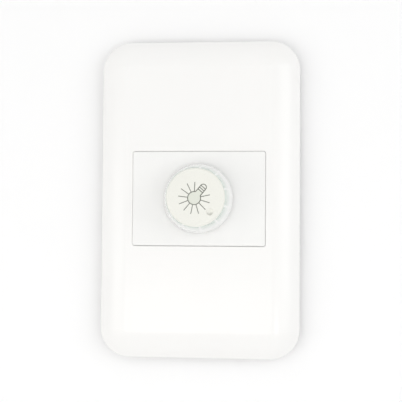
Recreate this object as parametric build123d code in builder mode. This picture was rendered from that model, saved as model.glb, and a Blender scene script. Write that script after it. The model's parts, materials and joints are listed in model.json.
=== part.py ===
from build123d import *
import os
from math import cos, hypot, radians, sin, sqrt

# Rotary wall dimmer. X is to the right and +Z up as seen from the room, and the room
# lies towards -Y. The wall plane is Y = 0. Heights are measured out of the wall, so
# everything inside the wall box has a negative height.

# Cover plate
plate_width = 74.0
plate_height = 118.0
plate_wall = 2.2
plate_crest = 7.5
rim_height = 2.2
rim_bevel = 0.5
border_radius = 16.0
field_margin = 2.05
field_corner = 0.5
window_gap = 0.2
window_corner = 0.8
window_edge_bevel = 0.2
plate_rib_thickness = 1.2
plate_rib_depth = 1.8
plate_rib_inset = 9.0
plate_rib_spacing = 56.0
hook_width = 8.0
hook_thickness = 1.6
hook_spacing = 36.0
hook_inset = 8.7
hook_tip_height = 0.35
hook_root = 0.3
barb_reach = 0.7
barb_height = 0.9
hook_clearance = 0.25
barb_clearance = 0.1

# Support frame behind the plate
frame_thickness = 2.4
frame_setback = 5.0
frame_corner = 4.0
frame_lip = 0.8
aperture_gap = 0.4
collar_wall = 1.4
collar_depth = 3.0
box_screw_spacing = 83.3
box_screw_radius = 2.1
box_screw_slot = 8.0
pad_width = 11.0
pad_length = 15.0
pad_height = 0.5
relief_width = 9.0
relief_height = 11.0
relief_x = 21.0
relief_z = 34.0

# Face housing that fills the plate's window
face_width = 48.9
face_height = 34.7
face_proud = 0.4
face_corner = 0.8
face_edge_bevel = 0.35
face_wall = 2.2
housing_wall = 1.5
flange_overhang = 1.8
flange_thickness = 1.6
split_depth = 8.0
tongue_width = 10.0
tongue_slit = 0.8
tongue_root = 1.0
tongue_travel = 1.2
lug_width = 8.0
lug_reach = 0.9
lug_height = 2.2
lug_clearance = 0.1
post_radius = 2.5
post_inset = 3.75
pilot_depth = 5.6

# Rear housing
rear_depth = 30.0
step_depth = 18.0
step_z = -5.2
rear_wall = 2.0
rear_edge_bevel = 0.8
lip_wall = 1.2
lip_gap = 0.1
lip_height = 3.0
lip_root = 1.5
column_radius = 2.9
column_tip_radius = 2.1
well_radius = 2.15
well_seat = 9.4
vent_count = 7
vent_pitch = 4.2
vent_width = 1.6
top_vent_length = 12.0
top_vent_depth = 19.5
back_vent_length = 8.0
back_vent_z = 6.5

# Circuit board. Wire leads end on its back face and flat pins pass through it.
board_depth = 3.0
board_thickness = 1.6
board_gap = 0.25
lead_radius = 0.35
lead_clearance = 0.15
lead_stub = 1.2
part_gap = 0.2

# Potentiometer
bush_radius = 3.5
bush_clearance = 0.1
bush_length = 5.4
pot_radius = 8.3
pot_plate_thickness = 1.0
pot_key_x = -6.4
pot_key_width = 2.2
pot_key_thickness = 1.0
pot_key_height = 1.4
wafer_thickness = 1.3
wafer_bore = 4.4
wafer_tail_width = 13.6
wafer_tail_drop = 11.2
track_inner = 4.9
track_outer = 6.9
track_thickness = 0.15
track_gap_angle = 60.0
wiper_gap = 0.05
wiper_thickness = 0.3
wiper_inner = 3.4
wiper_outer = 4.6
wiper_finger_width = 1.4
wiper_contact_radius = 0.5
wiper_rise = 0.45
rotor_radius = 6.6
rotor_thickness = 1.4
rotor_tab_radius = 7.6
rotor_tab_angle = 30.0
can_wall = 0.5
can_depth = 5.7
can_slot_clearance = 0.2
stop_inner = 6.8
stop_play = 0.5
pot_lug_pitch = 5.0
pot_lug_width = 1.4
pot_lug_thickness = 0.5
pot_lug_start = 7.4
pot_lug_drop = 10.6
washer_radius = 6.2
washer_thickness = 0.6
nut_across_flats = 10.0
nut_thickness = 2.0
shaft_radius = 3.0
shaft_clearance = 0.05
shaft_bevel = 0.4
shaft_flat = 1.5
shaft_flat_length = 6.2
shaft_tip_gap = 0.4
shaft_collar_radius = 4.2
shaft_collar_thickness = 0.8
turn_range = 270.0

# Knob
knob_gap = 0.6
knob_height = 11.8
knob_base_radius = 12.7
knob_top_radius = 10.75
knob_wall = 1.5
knob_web = 2.0
knob_rib_count = 11
knob_rib_reach = 0.7
knob_rib_thickness = 1.0
knob_edge_bevel = 0.3
hub_radius = 4.8
hub_drop = 4.2
hub_slit = 0.8
spring_width = 1.2
spring_thickness = 0.6
spring_rise = 1.2
spring_opening = 50.0
inlay_radius = 10.45
inlay_thickness = 1.5
inlay_bevel = 0.35
spigot_radius = 8.9
spigot_depth = 1.0
spigot_clearance = 0.1
pointer_radius = 7.3
pointer_angle = -45.0
pointer_size = 1.25
pointer_depth = 0.6

# Terminals
terminal_wall = 1.3
terminal_top_gap = 0.6
terminal_bottom_gap = 1.0
terminal_proud = 1.5
terminal_opening_gap = 0.2
terminal_pitch = 8.0
cage_size = 5.2
cage_length = 6.4
cage_bore = 3.4
cage_gap = 0.1
cage_pin_width = 1.0
cage_pin_thickness = 0.6
cage_pin_offset = 2.4
wire_depth = 11.2
wire_entry_radius = 1.7
terminal_screw_radius = 1.25
terminal_screw_clearance = 0.05
terminal_screw_bite = 0.8
terminal_head_radius = 2.0
terminal_head_height = 1.6
terminal_head_inset = 0.4
terminal_well_clearance = 0.15
terminal_slot = 0.6

# Triac on its heat sink, along the top of the rear housing
sink_width = 18.0
sink_length = 17.0
sink_thickness = 1.5
sink_inset = 16.95
sink_wall_gap = 0.6
sink_start = 10.0
triac_width = 10.0
triac_body_thickness = 3.2
triac_body_length = 9.0
triac_tab_thickness = 1.3
triac_tab_length = 15.4
triac_standoff = 4.2
triac_leg_pitch = 2.54
triac_leg_width = 0.8
triac_leg_thickness = 0.5
triac_hole_radius = 1.8
triac_hole_inset = 2.8
sink_screw_radius = 1.45
sink_screw_clearance = 0.05
sink_head_radius = 2.6
sink_head_height = 1.8

# Other parts on the board
choke_side_gap = 1.8
choke_top_gap = 1.1
choke_outer = 8.4
choke_inner = 4.6
choke_length = 7.0
choke_turns = 18
winding_wire = 0.8
winding_gap = 0.05
choke_standoff = 1.0
film_side_gap = 4.85
film_choke_gap = 1.75
film_z = 3.2
film_thickness = 7.0
film_rise = 13.0
film_lead_inset = 1.5
fuse_inset = 9.55
fuse_z = -6.4
fuse_radius = 4.1
fuse_rise = 7.6
fuse_lead_pitch = 5.08
timing_inset = 9.85
timing_z = -7.6
timing_length = 7.2
timing_thickness = 2.6
timing_rise = 6.6
timing_lead_pitch = 5.0
resistor_inset = 10.05
resistor_z = -11.2
resistor_radius = 1.2
resistor_length = 5.0
resistor_lead_pitch = 6.6
diac_inset = 10.55
diac_z = -12.6
diac_radius = 0.95
diac_length = 3.6
diac_lead_pitch = 6.0
axial_rise = 1.6
case_bevel = 0.4

# Screws that close the housing
screw_radius = 1.1
screw_clearance = 0.05
screw_length = 11.0
screw_hole_clearance = 0.15
screw_head_radius = 1.95
screw_head_height = 1.5
recess_width = 0.6
recess_length = 2.4
recess_depth = 0.7

# How far a cut runs past the face it opens
overcut = 1.0

# Heights and sizes that follow from the ones above
WALL = Plane.XZ
TURN_AXIS = Axis((0, 0, 0), (0, -1, 0))
face_front = plate_crest + face_proud
face_inside = face_front - face_wall
window_width = face_width + 2 * window_gap
window_height = face_height + 2 * window_gap
border_width = (plate_width - window_width) / 2 - field_margin
plate_corner = border_width + field_corner
plate_inside = plate_crest - plate_wall
frame_width = plate_width - 2 * frame_setback
frame_height = plate_height - 2 * frame_setback
aperture_width = face_width + 2 * aperture_gap
aperture_height = face_height + 2 * aperture_gap
inner_width = face_width - 2 * housing_wall
inner_height = face_height - 2 * housing_wall
rear_inner_width = face_width - 2 * rear_wall
rear_inner_height = face_height - 2 * rear_wall
deep_height = face_height / 2 - step_z
deep_z = (face_height / 2 + step_z) / 2
board_width = inner_width - 2 * board_gap
board_height = inner_height - 2 * board_gap
board_front = -board_depth
board_back = board_front - board_thickness
stub_end = board_front + lead_stub
knob_base = face_front + knob_gap
knob_front = knob_base + knob_height
inlay_back = knob_front - inlay_thickness
spigot_back = inlay_back - spigot_depth
web_back = spigot_back - knob_web
hub_end = web_back - hub_drop
pot_plate_back = face_inside - pot_plate_thickness
wafer_back = pot_plate_back - wafer_thickness
track_back = wafer_back - track_thickness
wiper_front = track_back - wiper_gap - wiper_rise
rotor_front = wiper_front - wiper_thickness
rotor_back = rotor_front - rotor_thickness
can_back = pot_plate_back - can_depth
can_bore = pot_radius - can_wall
stop_angle = 360 - turn_range - rotor_tab_angle - 2 * stop_play
washer_front = face_front + washer_thickness
shaft_tip = spigot_back - shaft_tip_gap
hook_z = plate_height / 2 - hook_inset
terminal_width = terminal_pitch + cage_size + 2 * cage_gap + 2 * terminal_wall
terminal_top = step_z - terminal_top_gap
terminal_bottom = -rear_inner_height / 2 + terminal_bottom_gap
terminal_height = terminal_top - terminal_bottom
terminal_z = (terminal_top + terminal_bottom) / 2
terminal_back = -step_depth - terminal_proud
sink_x = sink_inset - face_width / 2
sink_top = rear_inner_height / 2 - sink_wall_gap
sink_bottom = sink_top - sink_thickness
tab_bottom = sink_bottom - triac_tab_thickness
triac_start = board_back - triac_standoff
tab_hole = triac_start - triac_tab_length + triac_hole_inset
winding_reach = choke_outer + winding_gap + winding_wire / 2
choke_x = rear_inner_width / 2 - choke_side_gap - winding_reach - winding_wire / 2
choke_z = rear_inner_height / 2 - choke_top_gap - winding_reach - winding_wire / 2
choke_front = board_back - choke_standoff
film_left = film_side_gap - rear_inner_width / 2
film_right = choke_x - winding_reach - winding_wire / 2 - film_choke_gap
film_x = (film_left + film_right) / 2
film_length = film_right - film_left
film_lead_pitch = film_length - 2 * film_lead_inset
fuse_x = fuse_inset - face_width / 2
timing_x = face_width / 2 - timing_inset
resistor_x = face_width / 2 - resistor_inset
diac_x = diac_inset - face_width / 2
seat = -well_seat
post_x = face_width / 2 - post_inset
post_z = face_height / 2 - post_inset
screw_corners = [(-post_x, post_z), (post_x, -post_z)]
rest_corners = [(post_x, post_z), (-post_x, -post_z)]
film_leads = [(film_x - film_lead_pitch / 2, film_z), (film_x + film_lead_pitch / 2, film_z)]
fuse_leads = [(fuse_x, fuse_z - fuse_lead_pitch / 2), (fuse_x, fuse_z + fuse_lead_pitch / 2)]
timing_leads = [
    (timing_x - timing_lead_pitch / 2, timing_z),
    (timing_x + timing_lead_pitch / 2, timing_z),
]
resistor_leads = [
    (resistor_x - resistor_lead_pitch / 2, resistor_z),
    (resistor_x + resistor_lead_pitch / 2, resistor_z),
]
diac_leads = [
    (diac_x - diac_lead_pitch / 2, diac_z),
    (diac_x + diac_lead_pitch / 2, diac_z),
]
choke_leads = [(choke_x, choke_z + winding_reach), (choke_x, choke_z - winding_reach)]
triac_lead_z = tab_bottom - triac_body_thickness / 2
cage_pin_z = terminal_z - cage_pin_offset


def upright(x, z, angle=0.0):
    """Plane through (x, z) square to the wall; its local y is the height."""
    return Plane(
        origin=(x, 0, z),
        x_dir=(cos(radians(angle)), 0, sin(radians(angle))),
        z_dir=(sin(radians(angle)), 0, -cos(radians(angle))),
    )


def turned(shape, angle):
    """The shape turned about the shaft, counter-clockwise as seen from the room."""
    return shape.rotate(TURN_AXIS, angle)


def sector(inner, outer, middle, angle):
    """Ring sector about the shaft, as a face in the wall plane."""
    start = radians(middle - angle / 2)
    centre = radians(middle)
    end = radians(middle + angle / 2)
    with BuildSketch(Plane.XY, mode=Mode.PRIVATE) as ring:
        with BuildLine():
            ThreePointArc(
                (outer * cos(start), outer * sin(start)),
                (outer * cos(centre), outer * sin(centre)),
                (outer * cos(end), outer * sin(end)),
            )
            ThreePointArc(
                (inner * cos(start), inner * sin(start)),
                (inner * cos(centre), inner * sin(centre)),
                (inner * cos(end), inner * sin(end)),
            )
            Line((outer * cos(start), outer * sin(start)), (inner * cos(start), inner * sin(start)))
            Line((outer * cos(end), outer * sin(end)), (inner * cos(end), inner * sin(end)))
        make_face()
    return ring.sketch


def border_section(plane, inset, base, bevel):
    """Section through the plate's border, whose arc falls to the rim all round."""
    rise = plate_crest - rim_height
    chord = hypot(border_width, rise)
    leg = sqrt(border_radius**2 - (chord / 2) ** 2)
    centre_in = border_width / 2 + leg * rise / chord
    centre_out = (rim_height + plate_crest) / 2 - leg * border_width / chord
    radius = border_radius - inset
    top = plate_crest - inset
    flat_in = centre_in - sqrt(radius**2 - (top - centre_out) ** 2)
    middle_in = (inset + flat_in) / 2
    edge = (
        plate_corner - inset,
        centre_out + sqrt(radius**2 - (centre_in - inset) ** 2),
    )
    middle = (
        plate_corner - middle_in,
        centre_out + sqrt(radius**2 - (centre_in - middle_in) ** 2),
    )
    flat = (plate_corner - flat_in, top)
    with BuildSketch(plane) as section:
        with BuildLine():
            ThreePointArc(edge, middle, flat)
            Polyline(flat, (flat[0], base), (edge[0], base), edge)
        make_face()
        if bevel:
            rim = section.vertices().sort_by_distance(plane.from_local_coords(edge))[0]
            chamfer(rim, length=bevel)
    return section.sketch, flat_in


def crowned_block(inset, base, bevel):
    """The plate's outer form, or with an inset the hollow behind it."""
    corner_x = plate_width / 2 - plate_corner
    corner_z = plate_height / 2 - plate_corner
    side, flat_in = border_section(upright(corner_x, 0), inset, base, bevel)
    corner, flat_in = border_section(upright(corner_x, corner_z), inset, base, bevel)
    top, flat_in = border_section(upright(0, corner_z, 90), inset, base, bevel)
    with BuildPart() as block:
        extrude(side, amount=corner_z, dir=(0, 0, 1))
        revolve(corner, axis=Axis((corner_x, 0, corner_z), (0, -1, 0)), revolution_arc=90)
        extrude(top, amount=corner_x, dir=(1, 0, 0))
        mirror(about=Plane.YZ)
        mirror(about=Plane.XY)
        with BuildSketch(WALL.offset(base)):
            RectangleRounded(
                plate_width - 2 * flat_in,
                plate_height - 2 * flat_in,
                plate_corner - flat_in,
            )
        extrude(amount=plate_crest - inset - base)
    return block.part


with BuildPart() as hooks:
    with BuildSketch(upright(hook_spacing / 2, 0, 90)):
        with BuildLine():
            Polyline(
                (hook_z - hook_thickness / 2, plate_inside + hook_root),
                (hook_z + hook_thickness / 2, plate_inside + hook_root),
                (hook_z + hook_thickness / 2, hook_tip_height + barb_height),
                (hook_z + hook_thickness / 2 + barb_reach, hook_tip_height + barb_height),
                (hook_z + hook_thickness / 2, hook_tip_height),
                (hook_z - hook_thickness / 2, hook_tip_height),
                close=True,
            )
        make_face()
    extrude(amount=hook_width / 2, both=True)
    mirror(about=Plane.YZ)
    mirror(about=Plane.XY)

with BuildPart() as cover_plate:
    add(crowned_block(0, 0, rim_bevel))
    add(crowned_block(plate_wall, -overcut, 0), mode=Mode.SUBTRACT)
    with BuildSketch(WALL):
        RectangleRounded(window_width, window_height, window_corner)
    extrude(amount=plate_crest + overcut, mode=Mode.SUBTRACT)
    window_edges = cover_plate.faces().sort_by(Axis.Y)[0].inner_wires()[0].edges()
    chamfer(window_edges, length=window_edge_bevel)
    with BuildSketch(WALL.offset(plate_inside - plate_rib_depth)):
        with GridLocations(0, plate_rib_spacing, 1, 2):
            Rectangle(plate_width - 2 * plate_rib_inset, plate_rib_thickness)
    extrude(amount=plate_rib_depth)
    add(hooks.part)

with BuildPart() as support_frame:
    with BuildSketch(WALL):
        RectangleRounded(frame_width, frame_height, frame_corner)
    extrude(amount=frame_thickness)
    with BuildSketch(WALL.offset(-collar_depth)):
        Rectangle(aperture_width + 2 * collar_wall, aperture_height + 2 * collar_wall)
    extrude(amount=collar_depth + frame_thickness + frame_lip)
    with BuildSketch(WALL.offset(-collar_depth)):
        Rectangle(aperture_width, aperture_height)
    extrude(amount=collar_depth + frame_thickness + frame_lip, mode=Mode.SUBTRACT)
    with BuildSketch(WALL.offset(frame_thickness)):
        with GridLocations(0, box_screw_spacing, 1, 2):
            Rectangle(pad_width, pad_length)
    extrude(amount=pad_height)
    with BuildSketch(WALL):
        with GridLocations(0, box_screw_spacing, 1, 2):
            SlotOverall(box_screw_slot, 2 * box_screw_radius, rotation=90)
        with GridLocations(2 * relief_x, 2 * relief_z, 2, 2):
            Rectangle(relief_width, relief_height)
        with GridLocations(hook_spacing, 2 * hook_z, 2, 2):
            Rectangle(hook_width + 2 * hook_clearance, hook_thickness + 2 * hook_clearance)
    extrude(amount=frame_thickness + pad_height, mode=Mode.SUBTRACT)
    with BuildSketch(WALL):
        with GridLocations(hook_spacing, 2 * (hook_z + hook_thickness / 2), 2, 2):
            Rectangle(
                hook_width + 2 * hook_clearance,
                2 * (barb_reach + hook_clearance),
            )
    extrude(
        amount=hook_tip_height + barb_height + barb_clearance,
        mode=Mode.SUBTRACT,
    )

with BuildPart() as module_front:
    with BuildSketch(WALL.offset(-split_depth)):
        RectangleRounded(face_width, face_height, face_corner)
    extrude(amount=split_depth + face_front)
    chamfer(module_front.faces().sort_by(Axis.Y)[0].edges(), length=face_edge_bevel)
    with BuildSketch(WALL.offset(frame_thickness + frame_lip)):
        Rectangle(face_width + 2 * flange_overhang, face_height + 2 * flange_overhang)
    extrude(amount=flange_thickness)
    with BuildSketch(WALL.offset(-split_depth)):
        Rectangle(inner_width, inner_height)
    extrude(amount=split_depth + face_inside, mode=Mode.SUBTRACT)
    with BuildSketch(WALL.offset(board_front)):
        with Locations(*screw_corners):
            Circle(post_radius)
        with Locations(*rest_corners):
            Rectangle(2 * post_radius, 2 * post_radius)
    extrude(amount=face_inside - board_front)
    with BuildSketch(WALL.offset(board_front)):
        with Locations(*screw_corners):
            Circle(screw_radius + screw_clearance)
    extrude(amount=pilot_depth, mode=Mode.SUBTRACT)
    with BuildSketch(WALL.offset(face_inside)):
        Circle(bush_radius + bush_clearance)
    extrude(amount=face_wall, mode=Mode.SUBTRACT)
    with BuildSketch(WALL.offset(face_inside)):
        with Locations((pot_key_x, 0)):
            Rectangle(
                pot_key_thickness + 2 * bush_clearance,
                pot_key_width + 2 * bush_clearance,
            )
    extrude(amount=pot_key_height + bush_clearance, mode=Mode.SUBTRACT)
    with BuildSketch(WALL.offset(-split_depth)):
        with GridLocations(face_width - housing_wall, tongue_width + tongue_slit, 2, 2):
            Rectangle(housing_wall + overcut, tongue_slit)
    extrude(amount=split_depth + tongue_root, mode=Mode.SUBTRACT)
    with BuildSketch(upright(0, 0)):
        with BuildLine():
            Polyline(
                (face_width / 2 - housing_wall, -collar_depth - lug_clearance),
                (face_width / 2 + lug_reach, -collar_depth - lug_clearance),
                (face_width / 2, -collar_depth - lug_clearance - lug_height),
                (face_width / 2 - housing_wall, -collar_depth - lug_clearance - lug_height),
                close=True,
            )
        make_face()
        mirror(about=Plane.YZ)
    extrude(amount=lug_width / 2, both=True)

with BuildPart() as rear_housing:
    with BuildSketch(WALL.offset(-step_depth)):
        RectangleRounded(face_width, face_height, face_corner)
    extrude(amount=step_depth - split_depth)
    with BuildSketch(WALL.offset(-rear_depth)):
        with Locations((0, deep_z)):
            RectangleRounded(face_width, deep_height, face_corner)
    extrude(amount=rear_depth - split_depth)
    chamfer(rear_housing.faces().sort_by(Axis.Y)[-1].edges(), length=rear_edge_bevel)
    with BuildSketch(WALL.offset(-step_depth + rear_wall)):
        Rectangle(rear_inner_width, rear_inner_height)
    extrude(amount=step_depth, mode=Mode.SUBTRACT)
    with BuildSketch(WALL.offset(-rear_depth + rear_wall)):
        with Locations((0, deep_z)):
            Rectangle(rear_inner_width, deep_height - 2 * rear_wall)
    extrude(amount=rear_depth, mode=Mode.SUBTRACT)
    with BuildSketch(WALL.offset(-split_depth - lip_root)):
        Rectangle(inner_width - 2 * lip_gap, inner_height - 2 * lip_gap)
        Rectangle(
            inner_width - 2 * lip_gap - 2 * lip_wall,
            inner_height - 2 * lip_gap - 2 * lip_wall,
            mode=Mode.SUBTRACT,
        )
    extrude(amount=lip_root + lip_height)
    with BuildSketch(WALL.offset(-split_depth)):
        with GridLocations(inner_width - 2 * lip_gap, 0, 2, 1):
            Rectangle(2 * lip_wall + 2 * lip_gap, tongue_width + 2 * tongue_slit)
    extrude(amount=lip_height, mode=Mode.SUBTRACT)
    with BuildSketch(WALL.offset(-rear_depth + rear_wall / 2)):
        with Locations(screw_corners[0]):
            Circle(column_radius)
    extrude(amount=rear_depth - rear_wall / 2 - split_depth)
    with BuildSketch(WALL.offset(-step_depth + rear_wall / 2)):
        with Locations(screw_corners[1]):
            Circle(column_radius)
    extrude(amount=step_depth - rear_wall / 2 - split_depth)
    with BuildSketch(WALL.offset(-split_depth)):
        with Locations(*screw_corners):
            Circle(column_tip_radius)
    extrude(amount=split_depth + board_back)
    with BuildSketch(WALL.offset(-rear_depth + rear_wall / 2)):
        with Locations(rest_corners[0]):
            Rectangle(2 * column_tip_radius, 2 * column_tip_radius)
    extrude(amount=rear_depth - rear_wall / 2 + board_back)
    with BuildSketch(WALL.offset(-step_depth + rear_wall / 2)):
        with Locations(rest_corners[1]):
            Rectangle(2 * column_tip_radius, 2 * column_tip_radius)
    extrude(amount=step_depth - rear_wall / 2 + board_back)
    with BuildSketch(WALL.offset(seat)):
        with Locations(*screw_corners):
            Circle(screw_radius + screw_hole_clearance)
    extrude(amount=board_back - seat, mode=Mode.SUBTRACT)
    with BuildSketch(WALL.offset(-rear_depth)):
        with Locations(*screw_corners):
            Circle(well_radius)
    extrude(amount=rear_depth + seat, mode=Mode.SUBTRACT)
    with BuildSketch(WALL.offset(-step_depth)):
        with Locations((0, terminal_z)):
            Rectangle(
                terminal_width + 2 * terminal_opening_gap,
                terminal_height + 2 * terminal_opening_gap,
            )
    extrude(amount=rear_wall, mode=Mode.SUBTRACT)
    with BuildSketch(Plane.XY.offset(-face_height / 2)):
        with Locations((-terminal_pitch / 2, wire_depth), (terminal_pitch / 2, wire_depth)):
            Circle(wire_entry_radius)
    extrude(amount=rear_wall, mode=Mode.SUBTRACT)
    with BuildSketch(Plane.XY.offset(face_height / 2 - rear_wall)):
        with Locations((0, top_vent_depth)):
            with GridLocations(vent_pitch, 0, vent_count, 1):
                Rectangle(vent_width, top_vent_length)
    extrude(amount=rear_wall, mode=Mode.SUBTRACT)
    with BuildSketch(WALL.offset(-rear_depth)):
        with Locations((0, back_vent_z)):
            with GridLocations(vent_pitch, 0, vent_count, 1):
                Rectangle(vent_width, back_vent_length)
    extrude(amount=rear_wall, mode=Mode.SUBTRACT)

with BuildPart() as housing_screws:
    with BuildSketch(WALL.offset(seat - screw_head_height)):
        with Locations(*screw_corners):
            Circle(screw_head_radius)
    extrude(amount=screw_head_height)
    with BuildSketch(WALL.offset(seat)):
        with Locations(*screw_corners):
            Circle(screw_radius)
    extrude(amount=screw_length)
    with BuildSketch(WALL.offset(seat - screw_head_height)):
        with Locations(*screw_corners):
            Rectangle(recess_length, recess_width)
            Rectangle(recess_width, recess_length)
    extrude(amount=recess_depth, mode=Mode.SUBTRACT)

with BuildPart() as circuit_board:
    with BuildSketch(WALL.offset(board_back)):
        Rectangle(board_width, board_height)
        with GridLocations(board_width, 0, 2, 1):
            Rectangle(2 * tongue_travel, tongue_width + 2 * tongue_travel, mode=Mode.SUBTRACT)
        with Locations(*screw_corners):
            Circle(screw_radius + screw_hole_clearance, mode=Mode.SUBTRACT)
        with Locations((sink_x, triac_lead_z)):
            with GridLocations(triac_leg_pitch, 0, 3, 1):
                Rectangle(
                    triac_leg_width + lead_clearance,
                    triac_leg_thickness + lead_clearance,
                    mode=Mode.SUBTRACT,
                )
        with Locations((0, -pot_lug_drop)):
            with GridLocations(pot_lug_pitch, 0, 3, 1):
                Rectangle(
                    pot_lug_width + lead_clearance,
                    pot_lug_thickness + lead_clearance,
                    mode=Mode.SUBTRACT,
                )
        with Locations((0, cage_pin_z)):
            with GridLocations(terminal_pitch, 0, 2, 1):
                Rectangle(
                    cage_pin_width + lead_clearance,
                    cage_pin_thickness + lead_clearance,
                    mode=Mode.SUBTRACT,
                )
    extrude(amount=board_thickness)

# Potentiometer, which hangs in the face housing by its bush
with BuildPart() as pot_bush:
    with BuildSketch(WALL.offset(pot_plate_back)):
        Circle(pot_radius)
    extrude(amount=pot_plate_thickness)
    with BuildSketch(WALL.offset(face_inside)):
        Circle(bush_radius)
    extrude(amount=bush_length)
    with BuildSketch(WALL.offset(face_inside)):
        with Locations((pot_key_x, 0)):
            Rectangle(pot_key_thickness, pot_key_width)
    extrude(amount=pot_key_height)
    with BuildSketch(WALL.offset(pot_plate_back)):
        Circle(shaft_radius + shaft_clearance)
    extrude(amount=pot_plate_thickness + bush_length, mode=Mode.SUBTRACT)

with BuildPart() as pot_washer:
    with BuildSketch(WALL.offset(face_front)):
        Circle(washer_radius)
        Circle(bush_radius + bush_clearance, mode=Mode.SUBTRACT)
    extrude(amount=washer_thickness)

with BuildPart() as pot_nut:
    with BuildSketch(WALL.offset(washer_front)):
        RegularPolygon(nut_across_flats / 2, 6, major_radius=False)
        Circle(bush_radius + shaft_clearance, mode=Mode.SUBTRACT)
    extrude(amount=nut_thickness)

with BuildPart() as pot_wafer:
    with BuildSketch(WALL.offset(wafer_back)):
        Circle(can_bore - can_slot_clearance / 2)
        with Locations((0, -wafer_tail_drop / 2)):
            Rectangle(wafer_tail_width, wafer_tail_drop)
        Circle(wafer_bore, mode=Mode.SUBTRACT)
    extrude(amount=wafer_thickness)

with BuildPart() as pot_track:
    with BuildSketch(WALL.offset(track_back)):
        add(sector(track_inner, track_outer, 90, 360 - track_gap_angle))
    extrude(amount=track_thickness)

with BuildPart() as pot_lugs:
    with BuildSketch(WALL.offset(wafer_back - pot_lug_thickness)):
        with Locations((0, -(pot_lug_start + pot_lug_drop) / 2)):
            with GridLocations(pot_lug_pitch, 0, 3, 1):
                Rectangle(pot_lug_width, pot_lug_drop - pot_lug_start + pot_lug_thickness)
    extrude(amount=pot_lug_thickness)
    with BuildSketch(WALL.offset(board_back + lead_clearance)):
        with Locations((0, -pot_lug_drop)):
            with GridLocations(pot_lug_pitch, 0, 3, 1):
                Rectangle(pot_lug_width, pot_lug_thickness)
    extrude(amount=wafer_back - board_back - lead_clearance)

with BuildPart() as pot_can:
    with BuildSketch(WALL.offset(can_back)):
        Circle(pot_radius)
    extrude(amount=can_depth)
    with BuildSketch(WALL.offset(can_back + can_wall)):
        Circle(can_bore)
    extrude(amount=can_depth, mode=Mode.SUBTRACT)
    with BuildSketch(WALL.offset(can_back + can_wall)):
        add(sector(stop_inner, can_bore + can_wall / 2, -90, stop_angle))
    extrude(amount=rotor_front - can_back - can_wall)
    with BuildSketch(WALL.offset(wafer_back - pot_lug_thickness - can_slot_clearance)):
        with Locations((0, -pot_radius)):
            Rectangle(wafer_tail_width + 2 * can_slot_clearance, 2 * pot_radius)
    extrude(amount=can_depth, mode=Mode.SUBTRACT)

with BuildPart() as pot_shaft:
    with BuildSketch(WALL.offset(rotor_back)):
        Circle(shaft_radius)
    extrude(amount=shaft_tip - rotor_back)
    chamfer(pot_shaft.faces().sort_by(Axis.Y)[0].edges(), length=shaft_bevel)
    with BuildSketch(WALL.offset(pot_plate_back - shaft_clearance - shaft_collar_thickness)):
        Circle(shaft_collar_radius)
    extrude(amount=shaft_collar_thickness)
    with BuildSketch(WALL.offset(shaft_tip - shaft_flat_length)):
        with Locations((0, -shaft_flat - shaft_radius)):
            Rectangle(2 * shaft_radius, 2 * shaft_radius)
    extrude(amount=shaft_flat_length, mode=Mode.SUBTRACT)
pot_shaft.part = turned(pot_shaft.part, pointer_angle)

with BuildPart() as pot_rotor:
    with BuildSketch(WALL.offset(rotor_back)):
        Circle(rotor_radius)
        add(sector(rotor_radius - wiper_thickness, rotor_tab_radius, pointer_angle, rotor_tab_angle))
        Circle(shaft_radius, mode=Mode.SUBTRACT)
    extrude(amount=rotor_thickness)

with BuildPart() as pot_wiper:
    with BuildSketch(WALL.offset(rotor_front)):
        Circle(wiper_outer)
        with Locations(((wiper_outer + track_outer) / 2 - wiper_contact_radius, 0)):
            Rectangle(track_outer - wiper_inner, wiper_finger_width)
        Circle(wiper_inner, mode=Mode.SUBTRACT)
    extrude(amount=wiper_thickness)
    with BuildSketch(WALL.offset(wiper_front)):
        with Locations(((track_inner + track_outer) / 2, 0)):
            Circle(wiper_contact_radius)
    extrude(amount=wiper_rise)
pot_wiper.part = turned(pot_wiper.part, pointer_angle)

# Knob, drawn with its pointer to the right and then turned to the fully clockwise stop
with BuildPart() as knob_skirt:
    with BuildSketch(upright(0, 0)):
        with BuildLine():
            Polyline(
                (0, knob_base),
                (knob_base_radius, knob_base),
                (knob_top_radius, inlay_back),
                (0, inlay_back),
                close=True,
            )
        make_face()
    revolve(axis=TURN_AXIS)
    chamfer(knob_skirt.edges().filter_by(GeomType.CIRCLE), length=knob_edge_bevel)
    with BuildSketch(upright(0, 0)):
        with BuildLine():
            Polyline(
                (0, knob_base - overcut),
                (knob_base_radius - knob_wall, knob_base - overcut),
                (knob_base_radius - knob_wall, knob_base),
                (knob_top_radius - knob_wall, web_back),
                (0, web_back),
                close=True,
            )
        make_face()
    revolve(axis=TURN_AXIS, mode=Mode.SUBTRACT)
    with BuildSketch(WALL.offset(spigot_back)):
        Circle(spigot_radius + spigot_clearance)
    extrude(amount=spigot_depth, mode=Mode.SUBTRACT)
    with BuildSketch(WALL.offset(hub_end)):
        Circle(hub_radius)
    extrude(amount=hub_drop)
    with BuildSketch(WALL.offset(hub_end + spring_rise)):
        Circle(hub_radius + overcut)
        Circle(hub_radius - spring_thickness, mode=Mode.SUBTRACT)
    extrude(amount=spring_width, mode=Mode.SUBTRACT)
    with BuildSketch(WALL.offset(hub_end)) as bore:
        Circle(shaft_radius + shaft_clearance)
        with Locations((0, -shaft_flat - shaft_clearance - shaft_radius)):
            Rectangle(2 * hub_radius, 2 * shaft_radius, mode=Mode.SUBTRACT)
    extrude(amount=spigot_back - hub_end, mode=Mode.SUBTRACT)
    with BuildSketch(WALL.offset(hub_end)):
        Rectangle(2 * hub_radius, hub_slit)
    extrude(amount=hub_drop, mode=Mode.SUBTRACT)
knob_skirt.part = turned(knob_skirt.part, pointer_angle)

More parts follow.
